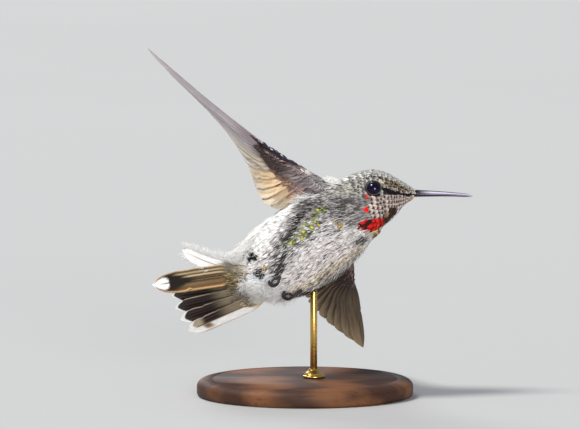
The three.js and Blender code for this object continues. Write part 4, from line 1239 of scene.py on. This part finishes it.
def tail_coverts(tail, row, cells):
    """A row of coverts: green ones above the tail, buff and brown ones beneath."""
    for i in range(row["count"]):
        across = i - (row["count"] - 1) / 2
        tone = rng.uniform(0, 1)
        under = shade("d8c8a8", "8f7b5b", tone), shade("5c4932", "271c12", tone)
        tint = covert_tint(*under) if row["face"] < 0 else covert_tint("55602a", BRONZE, upper_green(tone))
        yield tail_feather(
            tail, sideways=across * row["pitch"] + rng.normal(0, 0.2),
            angle=across * row["spread"] + rng.normal(0, 6),
            length=row["length"] * (1 - 0.006 * across**2) * rng.uniform(0.6, 1.02), outer=row["wide"] / 2,
            lift=row["face"] * (row["lift"] + rng.uniform(-0.12, 0.12)), drop=row["face"] * row["drop"],
            tint=tint, cell=next(cells), rows=16, ridge=0.02, splits=5, **COVERT,
        )


def tail_parts(tail):
    cells = unwrap_cells(12)
    parts = []
    for side, half in TAIL_HALVES.items():
        parts += rectrices(tail, side, half, cells)
    for row in TAIL_COVERTS:
        parts += tail_coverts(tail, row, cells)
    return parts


def tail_fluff(tail):
    """Loose barbs over the under tail coverts."""
    one_each, u = (2600, 1), np.linspace(0, 1, 5)
    x0, y0 = mix(-2.5, 5.0, rng.uniform(0, 1, one_each) ** 1.3), rng.uniform(-6.2, 6.4, one_each)
    x = x0 + rng.uniform(1.8, 3.8, one_each) * u
    y = y0 * (1 + 0.05 * x) + rng.normal(0, 0.7, one_each) * u**1.5
    rise = np.minimum(-3.5 + 0.3 * x, -1.8) + rng.uniform(-0.7, 0.2, one_each) * u + 0.02 * y**2
    tone = shade("f4f0e6", "6b5a40", (rng.uniform(0.6, 1, one_each) * smooth(x0, -1.2, 2.0))[..., None])
    uv = np.stack([0.1 + (x0 + 3) / 14, 0.5 + y0 / 14], -1)
    widths = rng.uniform(0.1, 0.2, one_each)
    return barbs(tail_point(tail, x, y, rise), widths, -tail["up"], tone * mix(0.8, 1.05, u)[:, None], uv)


def plume_parts():
    """The loose white plume at the tail's right edge: a soft vane with free barbs along its upper side."""
    start, end = np.array(PLUME["start"]), np.array(PLUME["end"])
    length, half = np.linalg.norm(end - start), PLUME["wide"] / 2
    along = unit(end - start)
    across = unit(np.cross(along, PLUME["faces"]))
    out = np.cross(across, along)

    def place(x, y, h):
        x, y, h = together(x, y, h)
        return moved(start, (along, x), (across, y + PLUME["bow"] * np.sin(np.pi * x / length)), (out, h))

    def tint(u, v, face):
        rgb = plain(WHITE, u) * (0.96 + 0.04 * np.sin(14 * v))[..., None]
        return with_gloss(blend(rgb, "7d5c3e", bell(v, 0, 0.05) * (1 - smooth(u, 0.7, 0.95))))

    vane = big_feather(place, length, half, tint, (0.0, 1), splits=7)
    one_each, u = (820, 1), np.linspace(0, 1, 6)
    root = rng.uniform(0.0, 0.97, one_each)
    upper = np.where(rng.uniform(0, 1, one_each) < 0.78, -1, 1)
    long = rng.uniform(1.4, 3.6, one_each) * mix(1.25, 0.5, root)
    x = length * root + long * (0.85 * u + 0.1 * u**2)
    y = upper * (half * 0.6 * outline(root) + long * (0.5 * u + rng.uniform(-0.1, 0.6, one_each) * u**2))
    h = rng.normal(0, 0.5, one_each) * u
    tone = colour(WHITE) * rng.uniform(0.9, 1.05, one_each)[..., None]
    uv = np.stack([0.6 + 0.3 * root, 0.9 + 0.05 * upper], -1)
    return [vane, barbs(place(x, y, h), 0.18, out, tone, uv)]


# ------------------------------------------------------------------ materials


class Graph:
    """A small help for building a material's nodes."""

    def __init__(self, name):
        self.material = bpy.data.materials.new(name)
        self.material.use_nodes = True
        self.tree = self.material.node_tree
        self.shader = self.tree.nodes["Principled BSDF"]

    def put(self, socket, value):
        if isinstance(value, bpy.types.NodeSocket):
            self.tree.links.new(value, socket)
        else:
            socket.default_value = (*colour(value), 1) if isinstance(value, str) else value

    def node(self, kind, output=0, settings=(), **inputs):
        """A new node's output. An input is named, with _ for a space, or has a number as i0."""
        node = self.tree.nodes.new("ShaderNode" + kind)
        for key, value in dict(settings).items():
            setattr(node, key, value)
        for key, value in inputs.items():
            self.put(node.inputs[int(key[1:]) if key[1:].isdigit() else key.replace("_", " ")], value)
        return node.outputs[output]

    def math(self, operation, a, b):
        return self.node("Math", settings=dict(operation=operation), i0=a, i1=b)

    def attribute(self, name, output=0):
        return self.node("Attribute", output, dict(attribute_name=name))

    def place(self):
        """The object's own coordinates, in metres."""
        return self.node("TexCoord", 3)

    def scaled(self, vector, scale):
        return self.node("VectorMath", settings=dict(operation="MULTIPLY"), i0=vector, i1=scale)

    def noise(self, vector, scale, detail=3.0, rough=0.55):
        return self.node("TexNoise", Vector=vector, Scale=scale, Detail=detail, Roughness=rough)

    def remap(self, value, low, high, to_low=0, to_high=1):
        return self.node("MapRange", Value=value, i1=low, i2=high, i3=to_low, i4=to_high)

    def mixed(self, factor, a, b):
        return self.node("Mix", 2, dict(data_type="RGBA"), i0=factor, i6=a, i7=b)

    def bump(self, height, strength, distance):
        return self.node("Bump", Strength=strength, Distance=distance, Height=height)

    def finish(self, **inputs):
        for key, value in inputs.items():
            self.put(self.shader.inputs[key.replace("_", " ")], value)
        return self.material


def feather_look(name, scale, streak, roughness, sheen):
    """Painted feathers with fine barbs: streaks run along each feather in its own coordinates."""
    g = Graph(name)
    streaks = g.noise(g.scaled(g.attribute("barb", 1), scale), 1.0, 4.0, 0.6)
    mottle = g.remap(g.noise(g.place(), 900.0), 0.3, 0.7, -0.05, 0.05)
    tone = g.math("ADD", g.remap(streaks, 0.3, 0.7, 1 - streak, 1 + 0.5 * streak), mottle)
    painted = g.node("VectorMath", settings=dict(operation="SCALE"), i0=g.attribute("paint"), Scale=tone)
    return g.finish(
        Base_Color=painted, Metallic=g.attribute("paint", 3), Roughness=roughness, Specular_IOR_Level=0.25,
        Sheen_Weight=sheen, Sheen_Roughness=0.5, Normal=g.bump(streaks, 0.5, 0.00012),
    )


def eye_look():
    g = Graph("eye_glass")
    base = g.mixed(g.remap(g.noise(g.place(), 700.0, 2.0), 0.35, 0.65), "020101", "0b0504")
    return g.finish(Base_Color=base, Roughness=0.1, Specular_IOR_Level=0.45, Specular_Tint="c9b8ff")


def horn_look():
    """The bill's horn, with a painted highlight along its upper side, past the feathers at its root."""
    g = Graph("bill_horn")
    fibre = g.noise(g.scaled(g.place(), (300.0, 2600.0, 2600.0)), 1.0, 4.0, 0.6)
    base = g.mixed(g.remap(fibre, 0.3, 0.7), "08070a", "1a161f")
    above = g.node("SeparateXYZ", 2, Vector=g.node("TexCoord", 1))
    # painted highlight: paler where the surface faces partly upwards, as where the light glances off the horn
    painted_highlight = g.math("MULTIPLY", g.remap(above, 0.0, 0.35, 0, 0.8), g.remap(above, 0.7, 0.92, 1, 0))
    past_root = g.remap(g.node("SeparateXYZ", 0, Vector=g.place()), 0.0325, 0.036)
    return g.finish(
        Base_Color=g.mixed(g.math("MULTIPLY", painted_highlight, past_root), base, "cfc4dc"),
        Roughness=g.remap(fibre, 0.3, 0.7, 0.26, 0.4), Specular_IOR_Level=0.5, Specular_Tint="efe6ff",
        Coat_Weight=0.25, Coat_Roughness=0.25, Normal=g.bump(fibre, 0.25, 0.00005),
    )


def leg_look(name, dark, light):
    g = Graph(name)
    grain = g.noise(g.place(), 2500.0, 4.0)
    base, rough = g.mixed(g.remap(grain, 0.3, 0.7), dark, light), g.bump(grain, 0.4, 0.00008)
    return g.finish(Base_Color=base, Roughness=0.5, Specular_IOR_Level=0.4, Normal=rough)


def wood_look():
    g = Graph("stand_wood")
    bend = g.remap(g.noise(g.scaled(g.place(), (8.0, 30.0, 30.0)), 1.0), 0, 1, 2, 9)
    along = g.scaled(g.place(), (12.0, 60.0, 60.0))
    rings = g.node("TexWave", Vector=along, Scale=1.0, Distortion=bend, Detail=3.0)
    pores = g.noise(g.scaled(g.place(), (90.0, 1500.0, 1500.0)), 1.0)
    base = g.mixed(g.remap(rings, 0.1, 0.9), "3a2113", "6b4326")
    return g.finish(
        Base_Color=g.mixed(g.remap(pores, 0.58, 0.7, 0, 0.6), base, "1d0f08"), Specular_IOR_Level=0.3,
        Roughness=g.remap(pores, 0.3, 0.7, 0.55, 0.7), Normal=g.bump(pores, 0.25, 0.00008),
    )


def brass_look():
    g = Graph("stand_brass")
    turned = g.noise(g.scaled(g.place(), (200.0, 200.0, 2500.0)), 1.0)
    base = g.mixed(g.remap(g.noise(g.place(), 350.0, 4.0), 0.45, 0.75, 0, 0.6), "c9a257", "8a6a36")
    roughness = g.remap(turned, 0.3, 0.7, 0.2, 0.36)
    return g.finish(Base_Color=base, Metallic=1.0, Roughness=roughness, Normal=g.bump(turned, 0.15, 0.00003))


def floor_look():
    g = Graph("floor_paper")
    base = g.mixed(g.noise(g.place(), 1.5), "a8a8a7", "aeaead")
    return g.finish(Base_Color=base, Roughness=0.85, Specular_IOR_Level=0.2)


# ------------------------------------------------------------------ eyes, bill, legs and stand


def ball(centre, radius, pole, rows=40, sides=64):
    """A fine ball with its poles on a given axis."""
    pole = unit(pole)
    side = unit(np.cross(pole, [0.0, 1.0, 0.3]))
    other = np.cross(pole, side)
    polar = np.linspace(0, np.pi, rows + 2)[1:-1][:, None, None]
    a = np.linspace(0, 2 * np.pi, sides, endpoint=False)[None, :, None]
    spoke = side * np.cos(a) + other * np.sin(a)
    form = tube(centre + radius * (pole * np.cos(polar) + np.sin(polar) * spoke))
    form["points"][-2:] = centre + radius * pole * np.array([[1], [-1]])
    return form


def lid(side):
    """The bare ring of the lids: a wrinkled roll that closes on the ball."""
    centre, outward = eye_place(side)
    across = unit(np.cross(outward, [0.0, 0.0, 1.0]))
    around = np.linspace(0, 2 * np.pi, 96, endpoint=False)[:, None]
    section = np.linspace(0, 2 * np.pi, 14, endpoint=False)[None]
    roll = LIDS["roll"] * (1 + 0.12 * np.sin(around * 30) + 0.06 * np.sin(around * 47 + 1))
    reach = LIDS["ring"] + roll * np.cos(section) * 1.2
    height = LIDS["height"] + roll * np.sin(section) - 0.15 * (reach - LIDS["ring"])
    spoke = across * np.cos(around)[..., None] + np.cross(outward, across) * np.sin(around)[..., None]
    rings = moved(centre, (spoke, reach), (outward, height))
    rows, sides = reach.shape
    quads = grid_quads(rows + 1, sides, closed=True) % (rows * sides)
    return dict(points=rings, quads=quads[:, ::-1], tris=NO_TRIS)


def mandible(half, deep, length):
    """Half of the bill, 1 or -1, with a sharp edge at the mouth. The upper has a keel and the nostrils."""
    roll = math.radians(stations_at(LAST)[2])
    dorsal = np.array([0, math.sin(roll), math.cos(roll)])
    right = np.cross([1.0, 0, 0], dorsal)
    along = np.linspace(0, 1, 60)[:, None]
    taper = np.minimum(1 - BILL["taper"] * along**0.9, (1 - along) * 3 + 0.07)
    a = np.linspace(0, np.pi, 19)[None]
    keel = 1 + BILL["keel"] * bell(a, np.pi / 2, 0.25) * (half > 0)
    rise = np.maximum(np.sin(a) ** 0.9 * deep * taper * keel, 0.015) + 0.05
    groove = sum(BILL["groove"] * np.exp(-((from_edge - 0.5) ** 2) / 0.02) for from_edge in (a, np.pi - a))
    side = np.cos(a) * BILL["wide"] * taper * (1 - groove * (along < BILL["groove_end"]))
    nostril = bell(along, *BILL["nostril"]) * bell(np.abs(a - np.pi / 2), 0.95, 0.14)
    pinch = 1 - BILL["pinch"] * nostril * (half > 0)
    x = BILL["root_x"] - BILL["buried"] + (BILL["length"] * length + BILL["buried"]) * along
    z = BILL["mouth_z"] - BILL["tip_drop"] * along**3
    rings = moved(np.stack(together(x, 0, z), -1), (right, side * pinch), (dorsal, half * rise * pinch))
    return tube(rings[:, ::half])


def claw(start, heading, bend, size=0.95):
    """A hooked claw that leaves along its heading and curls towards bend."""
    a = np.linspace(0, 1.9, 9)[:, None]
    line = start + size * (heading * np.sin(a) * 0.75 + bend * (1 - np.cos(a)) * 0.62)
    return round_bar(line, mix(0.2, 0.03, np.linspace(0, 1, 9) ** 1.2), np.cross(heading, bend), 8)


def toe(ankle, heading, bend, length):
    """A toe of scaly segments with pads beneath, curled shut, and its claw."""
    first = ankle + heading * length * 0.55
    middle = first + heading * length * 0.3 + bend * length * 0.4
    last = middle + bend * length * 0.35 - heading * length * 0.15
    line, u = smooth_line([ankle, first, middle, last], 46), np.linspace(0, 1, 46)
    scutes = 1 + 0.1 * np.abs(np.sin(u * np.pi * 9))
    pads = 1 + 0.12 * bell(u % 0.34, 0.2, 0.05)
    limb = round_bar(line, mix(*LEG["toe"], u) * scutes * pads, np.cross(heading, bend))
    return limb, claw(line[-1], unit(line[-1] - line[-4]), unit(ankle - line[-1]))


def leg_parts(hip, knee, ankle, curl):
    """The scaly parts of a leg and its claws: a shin, an ankle, three toes in front and one behind."""
    foot, heading, outward = np.array(ankle), unit(curl), np.array([0, -1.0, 0])
    bend = unit(unit(np.cross(heading, outward)) + 0.25 * outward)
    u = np.linspace(0, 1, 60)
    shin = mix(*LEG["shin"], u) * (1 + 0.09 * np.abs(np.sin(u * np.pi * 14)))
    scales = [round_bar(smooth_line([body(*hip, -1.5), knee, foot], 60), shin, outward, 14)]
    scales.append(ball(foot, LEG["ankle"], heading, 14, 18))
    toes = []
    for k in (-1, 0, 1):
        way = unit(heading + LEG["spread"] * k * outward)
        toes.append(toe(foot, way, bend, LEG["front_toe"] * (1 - 0.08 * abs(k))))
    toes.append(toe(foot, unit(bend + 0.3 * heading), heading, LEG["hind_toe"]))
    return scales + [limb for limb, _ in toes], [hook for _, hook in toes]


def lathe(profile, x, y, sides=96):
    """A turned form from (radius, height) pairs that start and end near the axis."""
    radius, height = np.array(profile, float).T[..., None]
    a = np.linspace(0, 2 * np.pi, sides, endpoint=False)
    return tube(np.stack(together(radius * np.cos(a) + x, radius * np.sin(a) + y, height), -1))


def corners_mm(node):
    return (np.array(corner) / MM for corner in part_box(node))


def stand_base(look):
    """The wooden disc, with a turned lip and a groove."""
    low, high = corners_mm("stand_base")
    radius, height = (high[0] - low[0]) / 2, high[2]
    arc, (wide, deep) = np.linspace(0, np.pi / 2, 14), BASE["lip"]
    lip = [(radius - wide * (1 - math.cos(a)), height - deep * (1 - math.sin(a))) for a in arc]
    foot = [(AXIS, 0.0), (radius - 1.0, 0.0), (radius - 0.3, 0.25), (radius, 0.9)]
    groove = [(radius - g, height - d) for g, d in zip(BASE["groove"], (0, BASE["groove_deep"], 0))]
    groove.append((AXIS, height))
    add_piece("base", [lathe(foot + lip + groove, 0, 0, 160)], look, ["stand_base"])


def stand_collar(look):
    """The brass collar: a bead on the base and a neck that narrows to the rod."""
    low, high = corners_mm("stand_collar")
    outer, bottom, top = (high[0] - low[0]) / 2, low[2] - 0.25, high[2]
    tall, arc = top - bottom, np.linspace(0.1, np.pi, 10)
    bead = [(outer * (0.93 + 0.07 * math.sin(a)), bottom + 0.14 * tall * (1 - math.cos(a))) for a in arc]
    widths = mix(outer * 0.86, ROD["radius"] + 0.35, smooth(np.linspace(0, 1, 14), 0, 1))
    neck = list(zip(widths, mix(bottom + 0.36 * tall, top, np.linspace(0, 1, 14))))
    start, end = [(AXIS, bottom), (outer * 0.9, bottom)], [(ROD["radius"] + 0.1, top + 0.02), (AXIS, top)]
    form = lathe(start + bead + neck + end, ROD["x"], ROD["y"])
    add_piece("collar", [form], look, ["stand_collar"])


def stand_rod(look):
    """The brass rod, with its edges broken."""
    low, high = corners_mm("stand_rod")
    r, bottom, top = ROD["radius"], low[2], high[2]
    start = [(AXIS, bottom), (r * 0.9, bottom), (r, bottom + 0.1)]
    end = [(r, top - 0.3), (r * 0.8, top), (AXIS, top)]
    form = lathe(start + end, ROD["x"], ROD["y"], 48)
    add_piece("rod", [form], look, ["stand_rod"])


# ------------------------------------------------------------------ the bird

# Stations where the rows of the coat start and between which the head's lie, and the throat's first angle
COAT_START, HEAD, THROAT_FROM = -0.5, (8.45, 13.3), 97
# The coat's pieces, each with its first station and its last
STRETCHES = [
    ("coat_rump", -0.6, 3.0), ("coat_breast", 3.0, 6.2), ("coat_neck", 6.2, 8.6), ("coat_head", 8.6, 14),
]


def plumage(look):
    """The small feathers in pieces by stretch of the body, a darker layer under the one that shows."""
    under_t, under_angle = sow(COAT_START, 8.6, 1.25, 0.25)
    body_field, head_field = sow(COAT_START, 8.3), sow(*HEAD, 1.0, 0, (0, THROAT_FROM))
    throat_field = sow(*HEAD, 1.5, 0, (THROAT_FROM, ALL_ROUND[1]))
    over_t, over_angle = np.concatenate([body_field, head_field, throat_field], axis=1)
    larger = np.where(np.arange(len(over_t)) < len(over_t) - len(throat_field[0]), 1, 1.4)
    for name, low, high in STRETCHES:
        deep, top = (under_t >= low) & (under_t < high), (over_t >= low) & (over_t < high)
        parts = []
        if deep.any():
            under = coat_feathers(under_t[deep], under_angle[deep], 0.9, 1.3)
            under["tip"] = under["tip"] - 0.25
            parts.append(small_feathers(under))
        parts.append(small_feathers(coat_feathers(over_t[top], over_angle[top], larger[top], larger[top])))
        add_piece(name, parts, look)
    add_piece("coat_marks", [small_feathers(f) for f in laid_marks()], look)


def scatter(count, stations, angles):
    return rng.uniform(*stations, count), rng.uniform(*angles, count)


def bridge_strands():
    """Long white strands that leave the right flank's edge and run straight on to the plume's foot."""
    count, u = 1300, np.linspace(0, 1, 6)[:, None]
    t, s = (values[:, None] for values in scatter(count, (0.0, 3.7), (42, 76)))
    start = body(t, s, -0.1)
    away = np.array(BRIDGE_END) + (rng.normal(0, 1, (count, 3)) * (0.9, 0.8, 0.9))[:, None] - start
    apart = np.linalg.norm(away, axis=-1)
    part_way = np.minimum(1, rng.uniform(4.5, 8.5, (count, 1)) / apart)
    _, _, normal = surface_axes(body, t, s)
    lines = start + away * part_way[..., None] * u
    lines = lines + normal * (0.7 * np.sin(np.pi * 0.8 * u) * rng.uniform(0.2, 1.2, (count, 1, 1)))
    white = rng.uniform(0, 1, (count, 1, 1)) < 0.93
    tone = np.where(white, colour(WHITE), colour("a79f86")) * rng.uniform(0.92, 1.03, (count, 1, 1))
    return barbs(lines, rng.uniform(0.16, 0.34, (count, 1)), normal, tone, body_root(t, s))


def loose_barbs(look):
    """Hair-like barbs over the whole body, at the vent, on the flank, by the plume and at the wing's root."""
    for name, stations in {"rear_strands": (-0.6, 3.2), "front_strands": (3.2, 7.0)}.items():
        roots = sow(*stations, 1.1, 0.4, (36, 181))
        add_piece(name, [coat_barbs(*roots, 4, 3.4, 0.32, 0.3, 5)], look)
    flank = np.repeat(both_sides(along_path(FLANK_LINE, 0.35)), 3, axis=0)
    spots = np.repeat(np.array(TAIL_SPOTS), 30, axis=0)
    flank, spots = (places + rng.normal(0, 1, places.shape) * (0.11, 2.5) for places in (flank, spots))
    soot = "171312"
    tufts = [
        coat_barbs(*scatter(420, (0.2, 2.6), (165, 235)), 3, 4.4, 0.17, 2.2, 24, WHITE),
        coat_barbs(*scatter(200, (4.0, 6.4), (196, 240)), 2, 3.2, 0.15, 1.0, 22),
        coat_barbs(*scatter(260, (0.1, 1.5), (58, 100)), 3, 4.2, 0.17, 1.5, 12, WHITE, 6),
        # near-white barbs high on the right side of the back and neck: a painted highlight along the lit
        # upper edge
        coat_barbs(*scatter(420, (5.6, 7.6), (24, 58)), 3, 3.4, 0.22, 2.4, 18, "f4f1ec"),
        coat_barbs(*scatter(90, (5.0, 5.9), (56, 72)), 4, 3.6, 0.2, 2.6, 45, WHITE),
        coat_barbs(*(flank + (0.45, 0)).T, 1, 2.8, 0.32, 0.9, 10, soot),
        coat_barbs(*(spots + (0.3, 0)).T, 1, 1.5, 0.34, 2.2, 22, soot),
        bridge_strands(),
    ]
    add_piece("loose_tufts", tufts, look)


def build_bird():
    coat = feather_look("plumage", (1.4, 6.0, 1.0), 0.3, 0.7, 0.03)
    flight = feather_look("flight_feathers", (0.35, 3.2, 1.0), 0.2, 0.55, 0.0)
    glass, horn, lids = eye_look(), horn_look(), leg_look("lid_skin", "151211", "4a4441")
    scaly, hooked = leg_look("leg_skin", "14100f", "2c2523"), leg_look("claw_horn", "080607", "1a1516")

    add_piece("skin", [body_skin()], coat, ["torso", "neck", "head"])
    plumage(coat)
    loose_barbs(coat)

    for side, name in ((1, "right"), (-1, "left")):
        centre, outward = eye_place(side)
        eyeball = ball(centre, EYE["radius"], outward)
        add_piece(f"eyeball_{name}", [eyeball], glass, [f"eye_{name}"])
        add_piece(f"lids_{name}", [lid(side)], lids)
        wing = wing_frame(side)
        arm = arm_surface(wing)
        add_piece(f"feathers_{name}_wing", wing_parts(wing), flight, [f"wing_{name}"])
        arm_coat = [arm_skin(arm), small_feathers(arm_feathers(arm), arm), wing_strands(wing)]
        add_piece(f"coat_{name}_arm", arm_coat, coat)

    tail = tail_frame()
    add_piece("tail_feathers", tail_parts(tail), flight, ["tail"])
    add_piece("plume", plume_parts(), flight)
    add_piece("under_tail_fluff", [tail_fluff(tail)], coat)

    add_piece("upper_bill", [mandible(1, 1.3, 1.0)], horn, ["bill_upper"])
    add_piece("lower_bill", [mandible(-1, 0.74, 0.985)], horn, ["bill_lower"])
    for name, leg in LEGS.items():
        scales, claws = leg_parts(*leg)
        add_piece(f"{name}_scales", scales, scaly, [name])
        add_piece(f"{name}_claws", claws, hooked)


def build_stand():
    wood, brass = wood_look(), brass_look()
    stand_base(wood)
    stand_collar(brass)
    stand_rod(brass)


# ------------------------------------------------------------------ floor, light and camera

# Where each sun shines, its strength, its softness in degrees and its colour
SUNS = {
    "key": ((0.52, 0.14, -0.85), 3.3, 14, (1.0, 0.98, 0.94)),
    "fill": ((-0.2, 0.96, -0.12), 2.7, 24, (1.0, 0.99, 0.98)),
    "rim": ((0.3, -0.8, -0.6), 1.2, 20, (0.95, 0.97, 1.0)),
}
CAMERA = dict(target=(-4.286, 0, 52), distance=1.4, elevation=5, lens=304.2, sensor=36)


def aimed(name, data, towards):
    """A light or a camera that looks towards a direction."""
    made = bpy.data.objects.new(name, data)
    made.rotation_mode = "QUATERNION"
    made.rotation_quaternion = Vector(towards).to_track_quat("-Z", "Y")
    bpy.context.scene.collection.objects.link(made)
    return made


def studio():
    bpy.ops.mesh.primitive_circle_add(vertices=96, radius=25, fill_type="TRIFAN")
    floor = bpy.context.object
    floor.name = "floor"
    floor.data.materials.append(floor_look())
    floor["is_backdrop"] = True

    world = bpy.data.worlds.new("studio")
    world.use_nodes = True
    sky = world.node_tree.nodes["Background"].inputs
    sky["Color"].default_value = (0.82, 0.88, 1.0, 1)
    sky["Strength"].default_value = 0.45
    bpy.context.scene.world = world

    for name, (towards, strength, softness, tint) in SUNS.items():
        light = bpy.data.lights.new(name, "SUN")
        light.energy, light.angle, light.color = strength, math.radians(softness), tint
        aimed(name, light, towards)

    lens = bpy.data.cameras.new("camera")
    lens.sensor_width, lens.lens = CAMERA["sensor"], CAMERA["lens"]
    lens.clip_start, lens.clip_end = 0.05, 100
    elevation = math.radians(CAMERA["elevation"])
    target = Vector(CAMERA["target"]) * MM
    place = target + Vector((0, -math.cos(elevation), math.sin(elevation))) * CAMERA["distance"]
    camera = aimed("camera", lens, target - place)
    camera.location = place
    bpy.context.scene.camera = camera
    bpy.context.scene.view_settings.view_transform = "Standard"


build_bird()
build_stand()
studio()

corners = {"cad": cad_box, "visual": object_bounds()}
{name: [list(corner) for corner in box] for name, box in corners.items()}
